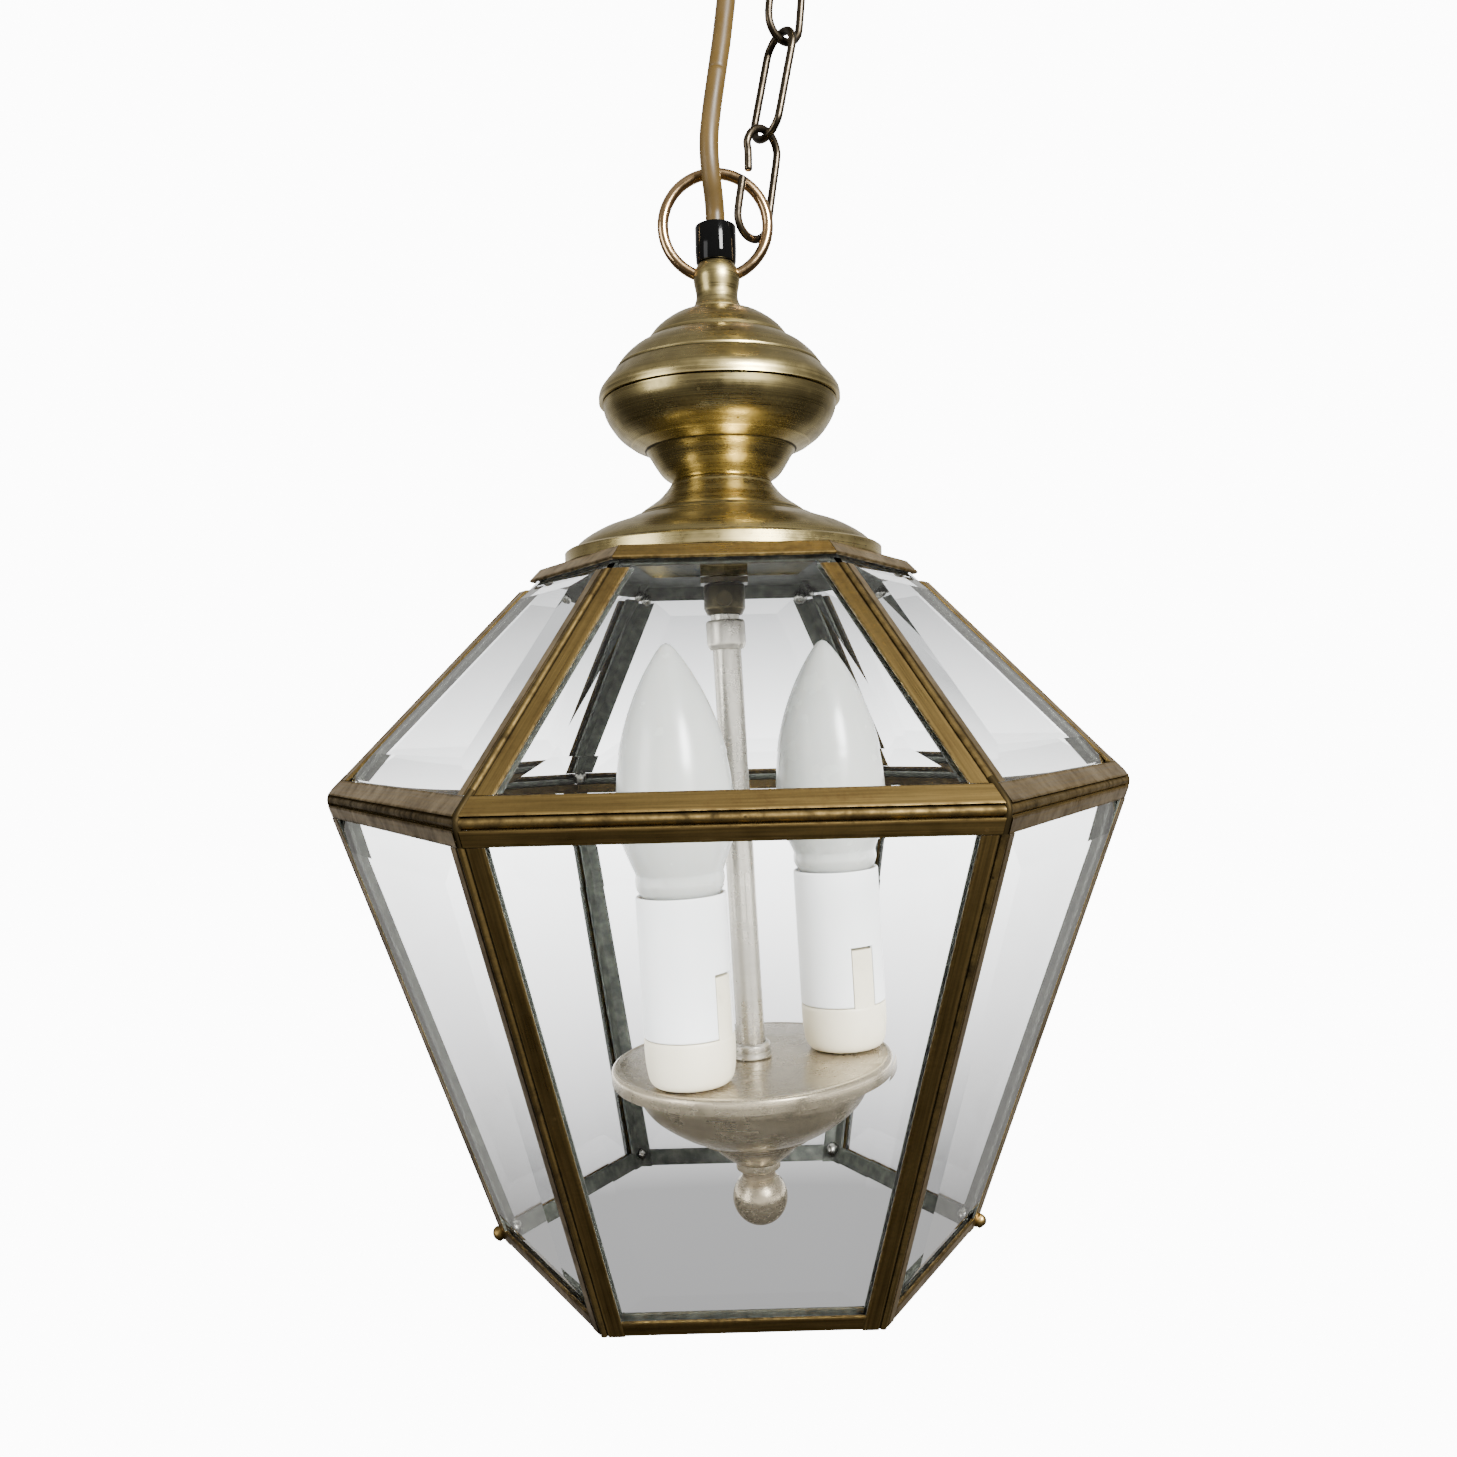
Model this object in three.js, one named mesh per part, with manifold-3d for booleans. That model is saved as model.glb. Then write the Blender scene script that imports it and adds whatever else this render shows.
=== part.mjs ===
// Hexagonal hall lantern of brass came and bevelled glass, hung by a chain from a ceiling rose.
// Millimetres, +Z up. The origin is the centre of the ceiling plate's flat back face.
// The lantern itself is built in its own frame: z = 0 in the girdle, where roof and body meet.
import * as THREE from "three";
import { mergeVertices } from "three/addons/utils/BufferGeometryUtils.js";
import Module from "manifold-3d";

const wasm = await Module();
wasm.setup();

// ---- driving dimensions ----
const GAP = 0.3; // running and resting clearance between neighbouring pieces

// ceiling rose
const PLATE_R = 30;
const PLATE_THICK = 3;
const PLATE_HOLE_R = 2.3;
const PLATE_HOLE_X = 20;
const ROSE_R = 50;
const ROSE_DEPTH = 26;
const ROSE_RIM = 5;
const ROSE_FLAT_R = 30; // flat underside of the rose
const WALL = 1.2; // spun brass sheet
const HOOK_WIRE_R = 2.2;
const HOOK_LOOP_R = 7;
const HOOK_DROP = 47; // ceiling to the hook wire's lowest centre
const HOOK_TURN = 130; // degrees, the plane that the hook is bent in
const BUSH_X = -19; // cord entry, from the middle of the rose
const BUSH_BORE_R = 6.6;
const BUSH_WALL = 1.2;
const BUSH_FLANGE_R = 9.4;

// chain: each link is [lean to the right, turn about its length], in degrees, from the top down
const LINK_WIRE_R = 1.25;
const LINK_PITCH = 34.2; // bend to bend, wire centres
const LINK_HALF_WIDTH = 6.55;
const LINK_C = [6, 40];
const LINK_B = [12, -55];
const LINK_A = [9, 42];
const LINK_A_MOUTH = [0.5, 0.68]; // where the open link's gap lies, as shares of its left side

// suspension ring and the neck that it hinges in
const RING_R = 16.5;
const RING_WIRE_R = 1.75;
const LINK_ON_RING_R = 11.8; // link A's lower bend from the ring's centre
const LINK_ON_RING_DEG = -20;
const NECK_TOP_R = 5.7;
const NECK_BULB_R = 7.2;
const NECK_WAIST_R = 6.5;
const NECK_FOOT_R = 8.2;
const NECK_H = 14.8;
const PIVOT_H = 11.3; // hinge line above the neck's foot
const PIN_IN = 5; // the ring's ends stop this far from the middle
const GRIP_R = 6.45;
const GRIP_H = 11.7;
const FLEX_R = 3;

// spun canopy: cap, bowl and crown, heights measured down from the cap's top
const CAP_R = 37.9;
const CAP_H = 28.5;
const BOWL_R = 36.7;
const BOWL_H = 24.3;
const WAIST_R = 15.8;
const CROWN_R = 49.6;
const CROWN_H = 25.6;
// Turned outlines are drawn at these heights and stretched to the sizes above and below.
const CAP_DRAWN_H = 28.5;
const BOWL_DRAWN_H = 24.3;
const CROWN_DRAWN_H = 25.6;
const PAN_BOWL_DRAWN_H = 22.6;
const BULB_DRAWN_H = 75.2;
const TUBE_R = 4.9; // threaded tube
const TUBE_BORE_R = 3.4;
const TUBE_HOLE_R = TUBE_R + GAP;
const NUT_R = 8.5;
const NUT_H = 4;

// hexagonal frame, corner radii
const GIRDLE_R = 127;
const ROOF_TOP_R = 57.8;
const ROOF_H = 71;
const BODY_FOOT_R = 75;
const BODY_H = 140;
const GIRDLE_GROOVE = 1.65; // half the groove between roof and body
const GIRDLE_WIRE_R = 1.3;
const CAME_SKIN = 1; // thickness of a came's outer and inner leaf
const CAME_SLOT = 2.2; // channel that the glass edge sits in
const CORNER_LEAF = 6; // width of one leaf on a hip or a corner post
const CORNER_CORE = 2.6;
const EAVES_LEAF = 6;
const EAVES_CORE = 4.2;
const CURB_LEAF = 4.9;
const CURB_CORE = 3.3;
const BODY_LEAF = 4.3; // leaf of the body's top and bottom rails
const BODY_CORE = 2.3;
const TOP_PLATE_H = 2;

// bevelled glass
const GLASS_EDGE = 1.5;
const GLASS_THICK = 4;
const GLASS_BEVEL = 9;
const GLASS_LAND = 2.4; // flat margin that the cames hold, outside the bevel
const GLASS_FIT = 0.35;

// lamp cluster, hung in the middle of the lantern
const CLUSTER_LEAN = 2.1; // degrees: the stem hangs a little out of true
const COUPLER_R = 6.5;
const COUPLER_H = 9.5;
const COUPLER_SCREW_R = 1.5;
const COUPLER_SCREW_HEAD_R = 2.4;
const STEM_R = 4.5;
const STEM_BORE_R = 3.2;
const COLLAR_R = 6.15;
const COLLAR_H = 9.3;
const COLLAR_BELOW_COUPLER = 1.6;
const PAN_R = 44.4;
const PAN_Z = -84.5; // top of the pan
const PAN_RIM = 4.8;
const PAN_BOWL_R = 37.7;
const PAN_BOWL_H = 27.6;
const FINIAL_BALL_R = 8.65;
const FINIAL_COLLAR_R = 7;
const FINIAL_H = 20;
const HOLDER_LEFT = [-18.2, -25.6]; // where each holder stands on the pan
const HOLDER_RIGHT = [30.4, 5];
const NOTCH_LEFT = -33; // degrees, the way that each holder's notch faces
const NOTCH_RIGHT = -64;
const HOLDER_R = 13.5;
const HOLDER_BASE_H = 14.5;
const HOLDER_FOOT_R = 10.5;
const SLEEVE_H = 41.2;
const SLEEVE_WALL = 0.9;
const NOTCH_WIDTH = 7.9;
const NOTCH_H = 18.6;
const BULB_R = 17.5;
const BULB_NECK_R = 11.7;
const BULB_H = 73.8; // glass above the sleeve
const BULB_CAP_R = 6.9;
const BULB_CAP_H = 26;

// ---- geometry helpers ----
const deg = THREE.MathUtils.degToRad;
const vec = (x, y, z) => new THREE.Vector3(x, y, z);
const COS30 = Math.cos(Math.PI / 6);
const TAN30 = Math.tan(Math.PI / 6);

// The same surface with shared vertices, and with its faces pointing out.
function closed(geometry) {
  const bare = geometry.index ? geometry.toNonIndexed() : geometry.clone();
  for (const name of Object.keys(bare.attributes)) {
    if (name !== "position") bare.deleteAttribute(name);
  }
  const merged = mergeVertices(bare, 1e-4);
  const at = merged.attributes.position;
  const old = merged.index.array;
  const faces = [];
  let volume = 0;
  for (let i = 0; i < old.length; i += 3) {
    const [a, b, c] = [old[i], old[i + 1], old[i + 2]];
    if (a === b || b === c || c === a) continue;
    faces.push(a, b, c);
    const [p, q, r] = [a, b, c].map((k) => new THREE.Vector3().fromBufferAttribute(at, k));
    volume += p.dot(q.cross(r));
  }
  if (volume < 0) {
    for (let i = 0; i < faces.length; i += 3) {
      [faces[i + 1], faces[i + 2]] = [faces[i + 2], faces[i + 1]];
    }
  }
  merged.setIndex(faces);
  return merged;
}

function toSolid(geometry) {
  const g = closed(geometry);
  return new wasm.Manifold(
    new wasm.Mesh({
      numProp: 3,
      vertProperties: new Float32Array(g.attributes.position.array),
      triVerts: new Uint32Array(g.index.array),
    }),
  );
}

function toGeometry(solid) {
  const mesh = solid.getMesh();
  return new THREE.BufferGeometry()
    .setAttribute("position", new THREE.BufferAttribute(new Float32Array(mesh.vertProperties), 3))
    .setIndex(new THREE.BufferAttribute(new Uint32Array(mesh.triVerts), 1));
}

// body minus each of the cutters
function cut(body, ...cutters) {
  let solid = toSolid(body);
  for (const cutter of cutters) solid = solid.subtract(toSolid(cutter));
  return toGeometry(solid);
}

function joined(...pieces) {
  return toGeometry(pieces.map(toSolid).reduce((a, b) => a.add(b)));
}

// Turns a profile of [radius, height] about +Z. A profile off the axis closes on itself.
function turned(profile, segments = 20, start = 0) {
  const points = profile.map(([r, z]) => new THREE.Vector2(r, z));
  if (profile[0][0] > 0) points.push(points[0].clone());
  return closed(new THREE.LatheGeometry(points, segments, start).rotateX(Math.PI / 2));
}

// A six-sided ring; radii are at the corners, which lie at 0, 60, 120 ... degrees.
const hexagonal = (profile) => turned(profile, 6, Math.PI / 2);

const rod = (radius, z0, z1, segments = 16) =>
  turned([[0, z0], [radius, z0], [radius, z1], [0, z1]], segments);

const pipe = (outer, inner, z0, z1, segments = 20) =>
  turned([[inner, z0], [outer, z0], [outer, z1], [inner, z1]], segments);

// A sheet-metal shell: the outer profile from its top down, and the same line set in by the wall.
function shell(outer, wall, holeR, segments = 20) {
  const inner = outer.map(([r, z], i) => {
    const before = outer[Math.max(i - 1, 0)];
    const after = outer[Math.min(i + 1, outer.length - 1)];
    const dr = after[0] - before[0];
    const dz = after[1] - before[1];
    const size = Math.hypot(dr, dz);
    return [r + (dz / size) * wall, z - (dr / size) * wall];
  });
  const topZ = outer[0][1];
  const footZ = outer[outer.length - 1][1];
  inner[0] = [holeR, inner[0][1]];
  inner[inner.length - 1] = [inner[inner.length - 1][0], footZ];
  return turned([[holeR, topZ], ...outer.slice(1), ...inner.reverse()], segments);
}

const circleShape = (radius, sides) =>
  new THREE.Shape(
    Array.from({ length: sides }, (_, i) => {
      const a = (i / sides) * 2 * Math.PI;
      return new THREE.Vector2(radius * Math.cos(a), radius * Math.sin(a));
    }),
  );

// Round wire along an open curve.
function wire(curve, radius, steps, sides = 10) {
  return closed(
    new THREE.ExtrudeGeometry(circleShape(radius, sides), { steps, extrudePath: curve }),
  );
}

const root = new THREE.Group();

function finish(color, metalness, roughness) {
  return new THREE.MeshStandardMaterial({ color, metalness, roughness });
}

const agedBrass = finish(0x8c7440, 1, 0.38);
const cameBrass = finish(0x6f5a30, 1, 0.5);
const polishedBrass = finish(0xb8935a, 1, 0.25);
const chainMetal = finish(0x5a5244, 1, 0.5);
const darkBronze = finish(0x4a3d2a, 1, 0.5);
const satinNickel = finish(0xb5b0a4, 1, 0.35);
const plainSteel = finish(0x9a9a98, 1, 0.4);
const blackPlastic = finish(0x0c0c0d, 0, 0.25);
const whitePlastic = finish(0xf0efe9, 0, 0.5);
const creamPlastic = finish(0xe0d8c0, 0, 0.5);
const opalGlass = finish(0xf4f3ee, 0, 0.35);
const flexSheath = finish(0xa8843f, 0, 0.5);
const clearGlass = new THREE.MeshStandardMaterial({
  color: 0xe8eeee,
  metalness: 0,
  roughness: 0.05,
  transparent: true,
  opacity: 0.3,
});

function add(parent, name, geometry, material) {
  const mesh = new THREE.Mesh(geometry, material);
  mesh.name = name;
  parent.add(mesh);
  return mesh;
}

// ---- where the chain puts the lantern ----
// The direction along a link, and the direction across it, from its lean and turn.
function linkAxes([lean, turn]) {
  const along = vec(Math.sin(deg(lean)), 0, Math.cos(deg(lean)));
  const across = vec(Math.cos(deg(turn)), Math.sin(deg(turn)), 0);
  across.addScaledVector(along, -across.dot(along)).normalize();
  return { along, across };
}

// A link's lower bend, from its upper one.
const below = (top, link) => top.clone().addScaledVector(linkAxes(link).along, -LINK_PITCH);
// The next link's upper bend, hung in this link's lower one.
const hungIn = (foot, link) =>
  foot.clone().addScaledVector(linkAxes(link).along, 2 * LINK_WIRE_R + GAP);

const hookFoot = vec(0, 0, -HOOK_DROP);
const topC = hookFoot.clone().add(vec(0, 0, HOOK_WIRE_R + LINK_WIRE_R + GAP));
const footC = below(topC, LINK_C);
const topB = hungIn(footC, LINK_B);
const footB = below(topB, LINK_B);
const topA = hungIn(footB, LINK_A);
const footA = below(topA, LINK_A);
const ringCentre = vec(
  footA.x - LINK_ON_RING_R * Math.cos(deg(LINK_ON_RING_DEG)),
  0,
  footA.z - LINK_ON_RING_R * Math.sin(deg(LINK_ON_RING_DEG)),
);

// ---- heights in the lantern's own frame ----
const crownFoot = ROOF_H + GAP;
const crownTop = crownFoot + CROWN_H;
const bowlTop = crownTop + GAP + BOWL_H;
const capFoot = bowlTop + GAP;
const capTop = capFoot + CAP_H;
const neckFoot = capTop + GAP;
const neckTop = neckFoot + NECK_H;
const gripTop = neckTop + GAP + GRIP_H;
const pivotZ = neckFoot + PIVOT_H;
const ringZ = pivotZ + Math.sqrt(RING_R ** 2 - PIN_IN ** 2);

const lantern = new THREE.Group();
lantern.position.set(ringCentre.x, 0, ringCentre.z - ringZ);
root.add(lantern);

// ---- ceiling rose ----
function ceilingPlate() {
  const holes = [-1, 1].map((side) =>
    rod(PLATE_HOLE_R, -PLATE_THICK - 1, 1, 12).translate(side * PLATE_HOLE_X, 0, 0),
  );
  const hookHole = rod(HOOK_WIRE_R + GAP, -PLATE_THICK - 1, -PLATE_THICK / 3, 16);
  return cut(rod(PLATE_R, -PLATE_THICK, 0, 28), ...holes, hookHole);
}

function ceilingRose() {
  const line = [
    [HOOK_WIRE_R + 1, -ROSE_DEPTH],
    [ROSE_FLAT_R, -ROSE_DEPTH],
    [ROSE_FLAT_R + 5, -ROSE_DEPTH + 3],
    [ROSE_R - 12, -ROSE_DEPTH / 2 - 3],
    [ROSE_R - 6, -ROSE_RIM - 4],
    [ROSE_R - 2, -ROSE_RIM - 1],
    [ROSE_R, -ROSE_RIM],
    [ROSE_R, 0],
  ];
  const inner = [
    [ROSE_R - WALL, 0],
    [ROSE_R - WALL, -ROSE_RIM + 0.4],
    [ROSE_R - 6 - WALL, -ROSE_RIM - 3],
    [ROSE_R - 12 - WALL, -ROSE_DEPTH / 2 - 2],
    [ROSE_FLAT_R + 4, -ROSE_DEPTH + 3 + WALL],
    [ROSE_FLAT_R - 0.5, -ROSE_DEPTH + WALL],
    [HOOK_WIRE_R + 1, -ROSE_DEPTH + WALL],
  ];
  const bushHole = rod(BUSH_BORE_R + BUSH_WALL + GAP, -ROSE_DEPTH - 1, -ROSE_DEPTH + WALL + 1);
  return cut(turned([...line, ...inner]), bushHole.translate(BUSH_X, 0, 0));
}

// A shank that goes up into the plate, and a loop of wire nearly closed on it.
function ceilingHook() {
  const loopZ = -HOOK_DROP + HOOK_LOOP_R;
  const turn = deg(HOOK_TURN);
  const points = [vec(0, 0, -PLATE_THICK / 3 - GAP), vec(0, 0, loopZ + HOOK_LOOP_R + 4)];
  for (let a = 90; a >= -190; a -= 20) {
    const r = HOOK_LOOP_R * Math.cos(deg(a));
    const z = loopZ + HOOK_LOOP_R * Math.sin(deg(a));
    points.push(vec(r * Math.cos(turn), r * Math.sin(turn), z));
  }
  return wire(new THREE.CatmullRomCurve3(points, false, "centripetal"), HOOK_WIRE_R, 22, 8);
}

function bush() {
  const foot = -ROSE_DEPTH - GAP;
  const barrel = BUSH_BORE_R + BUSH_WALL;
  return turned(
    [
      [BUSH_BORE_R, foot - 1.6],
      [BUSH_FLANGE_R - 0.6, foot - 1.6],
      [BUSH_FLANGE_R, foot - 1],
      [BUSH_FLANGE_R, foot],
      [barrel, foot],
      [barrel, foot + 4],
      [BUSH_BORE_R, foot + 4],
    ],
    18,
  );
}

const ceiling = new THREE.Group();
root.add(ceiling);
add(ceiling, "ceiling_plate", ceilingPlate(), plainSteel);
add(ceiling, "ceiling_rose", ceilingRose(), agedBrass);
add(ceiling, "ceiling_hook", ceilingHook(), agedBrass);
add(ceiling, "cord_bush", bush(), blackPlastic).position.set(BUSH_X, 0, 0);

// ---- chain ----
// A long oval link, from its foot up. A link with a mouth is open between two shares of its left side.
function chainLink(foot, link, mouth) {
  const { along, across } = linkAxes(link);
  const straight = LINK_PITCH - 2 * LINK_HALF_WIDTH;
  const place = (side, up) =>
    foot.clone().addScaledVector(across, side).addScaledVector(along, up);
  const bend = (angle, base) =>
    place(LINK_HALF_WIDTH * Math.sin(angle), base - LINK_HALF_WIDTH * Math.cos(angle));
  const leftAt = (share) => place(-LINK_HALF_WIDTH, LINK_HALF_WIDTH + straight * share);
  const [from, to] = mouth ?? [0.5, 0.5];
  const points = [];
  if (from > 0) points.push(leftAt(from), leftAt(from / 2));
  for (let i = -4; i <= 4; i++) points.push(bend((i / 8) * Math.PI, LINK_HALF_WIDTH));
  points.push(place(LINK_HALF_WIDTH, LINK_HALF_WIDTH + straight / 2));
  for (let i = 4; i <= 12; i++) {
    points.push(bend((i / 8) * Math.PI, LINK_HALF_WIDTH + straight));
  }
  if (!mouth) {
    const loop = new THREE.CatmullRomCurve3(points.slice(1), true, "centripetal");
    return wire(loop, LINK_WIRE_R, 26, 6);
  }
  points.push(leftAt(to + (1 - to) / 2), leftAt(to));
  return wire(new THREE.CatmullRomCurve3(points, false, "centripetal"), LINK_WIRE_R, 24, 6);
}

add(root, "chain_link_c", chainLink(footC, LINK_C), chainMetal);
add(root, "chain_link_b", chainLink(footB, LINK_B), chainMetal);
add(root, "chain_link_a", chainLink(footA, LINK_A, LINK_A_MOUTH), chainMetal);

// ---- suspension ring, neck and cord grip ----
function suspensionRing() {
  const end = Math.asin(PIN_IN / RING_R);
  const points = [];
  for (let i = 0; i <= 40; i++) {
    const a = end + (i / 40) * (2 * Math.PI - 2 * end);
    points.push(vec(RING_R * Math.sin(a), 0, ringZ - RING_R * Math.cos(a)));
  }
  return wire(new THREE.CatmullRomCurve3(points), RING_WIRE_R, 32, 8);
}

function neck() {
  const body = turned(
    [
      [FLEX_R + GAP, neckTop],
      [FLEX_R + GAP, neckFoot + 5],
      [TUBE_HOLE_R, neckFoot + 5],
      [TUBE_HOLE_R, neckFoot],
      [NECK_FOOT_R, neckFoot],
      [NECK_FOOT_R - 0.4, neckFoot + 1],
      [NECK_WAIST_R + 0.4, neckFoot + 2.6],
      [NECK_WAIST_R, neckFoot + 5],
      [(NECK_WAIST_R + NECK_BULB_R) / 2, neckFoot + 7],
      [NECK_BULB_R, neckFoot + 9.5],
      [NECK_BULB_R, neckFoot + 11],
      [NECK_BULB_R - 0.5, neckFoot + 13],
      [NECK_TOP_R, neckTop],
    ],
  );
  const socketR = RING_WIRE_R + 1.1;
  const sockets = [-1, 1].map((side) =>
    rod(socketR, PIN_IN - 0.6, NECK_BULB_R + 4, 16)
      .rotateY((side * Math.PI) / 2)
      .translate(0, 0, pivotZ),
  );
  return cut(body, ...sockets);
}

add(lantern, "suspension_ring", suspensionRing(), polishedBrass);
add(lantern, "loop_neck", neck(), agedBrass);
add(lantern, "cord_grip", pipe(GRIP_R, FLEX_R + GAP, neckTop + GAP, gripTop), blackPlastic);

// ---- supply flex: out of the grip, in front of the ring, and up into the rose ----
// Points are in the lantern's frame with heights above the grip. The join lies beside link B.
const FLEX_LOWER = [
  [0, 0, 0.3],
  [0, -0.2, 4.6],
  [-0.3, -1.9, 8.6],
  [-0.8, -4.2, 12.6],
  [-1.2, -5.5, 17.1],
  [-1.4, -5.9, 21.6],
  [-1.2, -5.9, 26.6],
  [-0.6, -5.6, 31.6],
  [0.1, -5.2, 36.6],
  [0.9, -4.7, 41.6],
  [1.7, -4.1, 46.6],
];
const FLEX_UPPER = [
  [1.75, -4.06, 46.9],
  [2.5, -3.5, 51.6],
  [3.3, -2.9, 56.6],
  [4.1, -2.2, 62.6],
  [4.9, -1.6, 68.6],
  [5.6, -1, 74.6],
  [6.2, -0.6, 80.6],
  [6.7, -0.3, 86.6],
  [7, -0.1, 93.6],
  [7.1, 0, 100.6],
  [7.1, 0, 107.6],
  [7.1, 0, 114.6],
  [7.1, 0, 122.6],
];

function flex(points) {
  const curve = new THREE.CatmullRomCurve3(
    points.map(([x, y, up]) => vec(x, y, gripTop + up)),
  );
  const steps = Math.round(curve.getLength() / (5 * FLEX_R));
  return wire(curve, FLEX_R, Math.max(steps, 8), 8);
}

add(lantern, "flex_lower", flex(FLEX_LOWER), flexSheath);
add(lantern, "flex_upper", flex(FLEX_UPPER), flexSheath);

// ---- spun canopy ----
function cap() {
  const drop = (d) => capTop - (d / CAP_DRAWN_H) * CAP_H;
  const share = (r) => (r / 37.9) * CAP_R;
  const outer = [
    [TUBE_HOLE_R, drop(0)],
    [share(9.8), drop(0)],
    [share(14.5), drop(1.9)],
    [share(19.3), drop(5.4)],
    [share(22.6), drop(9.2)],
    [share(24.2), drop(10.6)],
    [share(27.3), drop(13)],
    [share(30), drop(15.3)],
    [share(33), drop(19)],
    [share(35), drop(22)],
    [share(37.3), drop(24.6)],
    [CAP_R, drop(26.4)],
    [CAP_R, capFoot],
  ];
  return shell(outer, WALL, TUBE_HOLE_R);
}

function bowl() {
  const foot = crownTop + GAP;
  const rise = (h) => foot + (h / BOWL_DRAWN_H) * BOWL_H;
  const outer = [
    [TUBE_HOLE_R, foot],
    [WAIST_R, foot],
    [WAIST_R + 2.2, rise(2)],
    [WAIST_R + 4.2, rise(4.6)],
    [WAIST_R + 6.4, rise(7.8)],
    [WAIST_R + 8.4, rise(9.8)],
    [BOWL_R - 9, rise(11.6)],
    [BOWL_R - 5, rise(14.6)],
    [BOWL_R - 2.2, rise(18.2)],
    [BOWL_R - 0.6, rise(21.4)],
    [BOWL_R, bowlTop],
  ];
  const mirrored = outer.map(([r, z]) => [r, -z]);
  return closed(shell(mirrored, WALL, TUBE_HOLE_R).rotateX(Math.PI));
}

function crown() {
  const drop = (d) => crownTop - (d / CROWN_DRAWN_H) * CROWN_H;
  const outer = [
    [TUBE_HOLE_R, drop(0)],
    [WAIST_R, drop(0)],
    [WAIST_R + 1, drop(2)],
    [WAIST_R + 4.6, drop(6)],
    [WAIST_R + 9, drop(9.4)],
    [WAIST_R + 12.8, drop(11.6)],
    [WAIST_R + 17.5, drop(13.6)],
    [CROWN_R - 8, drop(16.8)],
    [CROWN_R - 4, drop(19.6)],
    [CROWN_R - 1.6, drop(21.6)],
    [CROWN_R, drop(21.9)],
    [CROWN_R, crownFoot],
  ];
  return shell(outer, WALL, TUBE_HOLE_R);
}

add(lantern, "canopy_cap", cap(), agedBrass);
add(lantern, "canopy_bowl", bowl(), agedBrass);
add(lantern, "canopy_crown", crown(), agedBrass);

const couplerTop = ROOF_H - TOP_PLATE_H - NUT_H - 2 * GAP;
const couplerFoot = couplerTop - COUPLER_H;
const tubeFoot = couplerTop - 8;
add(
  lantern,
  "threaded_tube",
  pipe(TUBE_R, TUBE_BORE_R, tubeFoot, neckFoot + 5 - GAP, 16),
  plainSteel,
);

function lockNut() {
  const foot = couplerTop + GAP;
  const blank = turned([[0, foot], [NUT_R, foot], [NUT_R, foot + NUT_H], [0, foot + NUT_H]], 6);
  return cut(blank, rod(TUBE_HOLE_R / Math.cos(Math.PI / 16), foot - 1, foot + NUT_H + 1));
}
add(lantern, "lock_nut", lockNut(), plainSteel);

// ---- hexagonal frame ----
// Mid-face sections: a point is s along the face from its edge and n in from its outer surface.
function railSection(edge, along, leaf, core, closeZ) {
  const inward = [-Math.abs(along[1]), along[0] < 0 ? Math.sign(along[1]) * along[0] : -along[0]];
  if (along[0] * inward[0] + along[1] * inward[1] > 1e-6) inward[1] = -inward[1];
  const full = 2 * CAME_SKIN + CAME_SLOT;
  const at = (s, n) => [
    edge[0] + s * along[0] + n * inward[0],
    edge[1] + s * along[1] + n * inward[1],
  ];
  const closeS = (closeZ - edge[1] - full * inward[1]) / along[1];
  const points = [
    at(0, 0),
    at(leaf, 0),
    at(leaf, CAME_SKIN),
    at(core, CAME_SKIN),
    at(core, CAME_SKIN + CAME_SLOT),
    at(leaf, CAME_SKIN + CAME_SLOT),
    at(leaf, full),
    at(closeS, full),
  ];
  return points.map(([r, z]) => [r / COS30, z]);
}

// One sloping face of the hexagon, between two heights with their corner radii.
function face(lowR, lowZ, highR, highZ) {
  const low = [lowR * COS30, lowZ];
  const high = [highR * COS30, highZ];
  const length = Math.hypot(high[0] - low[0], high[1] - low[1]);
  const up = [(high[0] - low[0]) / length, (high[1] - low[1]) / length];
  return { low, high, length, up, down: [-up[0], -up[1]] };
}

const roofFace = face(GIRDLE_R, GIRDLE_GROOVE, ROOF_TOP_R, ROOF_H);
const bodyFace = face(BODY_FOOT_R, -BODY_H, GIRDLE_R, -GIRDLE_GROOVE);

const eaves = railSection(roofFace.low, roofFace.up, EAVES_LEAF, EAVES_CORE, GIRDLE_GROOVE);
const curb = railSection(roofFace.high, roofFace.down, CURB_LEAF, CURB_CORE, ROOF_H);
const bodyHead = railSection(
  bodyFace.high,
  bodyFace.down,
  BODY_LEAF,
  BODY_CORE,
  -GIRDLE_GROOVE,
);
const bodyFoot = railSection(bodyFace.low, bodyFace.up, BODY_LEAF, BODY_CORE, -BODY_H);

add(lantern, "roof_eaves_came", hexagonal(eaves), cameBrass);
add(lantern, "body_top_came", hexagonal(bodyHead), cameBrass);
add(lantern, "body_bottom_came", hexagonal(bodyFoot), cameBrass);

function girdleWire() {
  const r = GIRDLE_R - GIRDLE_WIRE_R - 0.4;
  const ring = Array.from({ length: 8 }, (_, i) => {
    const a = (i / 8) * 2 * Math.PI;
    return [r + GIRDLE_WIRE_R * Math.cos(a), GIRDLE_WIRE_R * Math.sin(a)];
  });
  return hexagonal(ring);
}
add(lantern, "girdle_wire", girdleWire(), cameBrass);

// The plate that closes the roof, soldered between the lengths of the curb came.
function roofTopPlate() {
  const foot = ROOF_H - TOP_PLATE_H;
  const edge = ROOF_TOP_R - 1;
  const plate = hexagonal([
    [TUBE_HOLE_R / COS30, foot],
    [edge, foot],
    [edge, ROOF_H],
    [TUBE_HOLE_R / COS30, ROOF_H],
  ]);
  return joined(hexagonal(curb), plate);
}
add(lantern, "roof_top_plate", roofTopPlate(), cameBrass);

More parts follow.
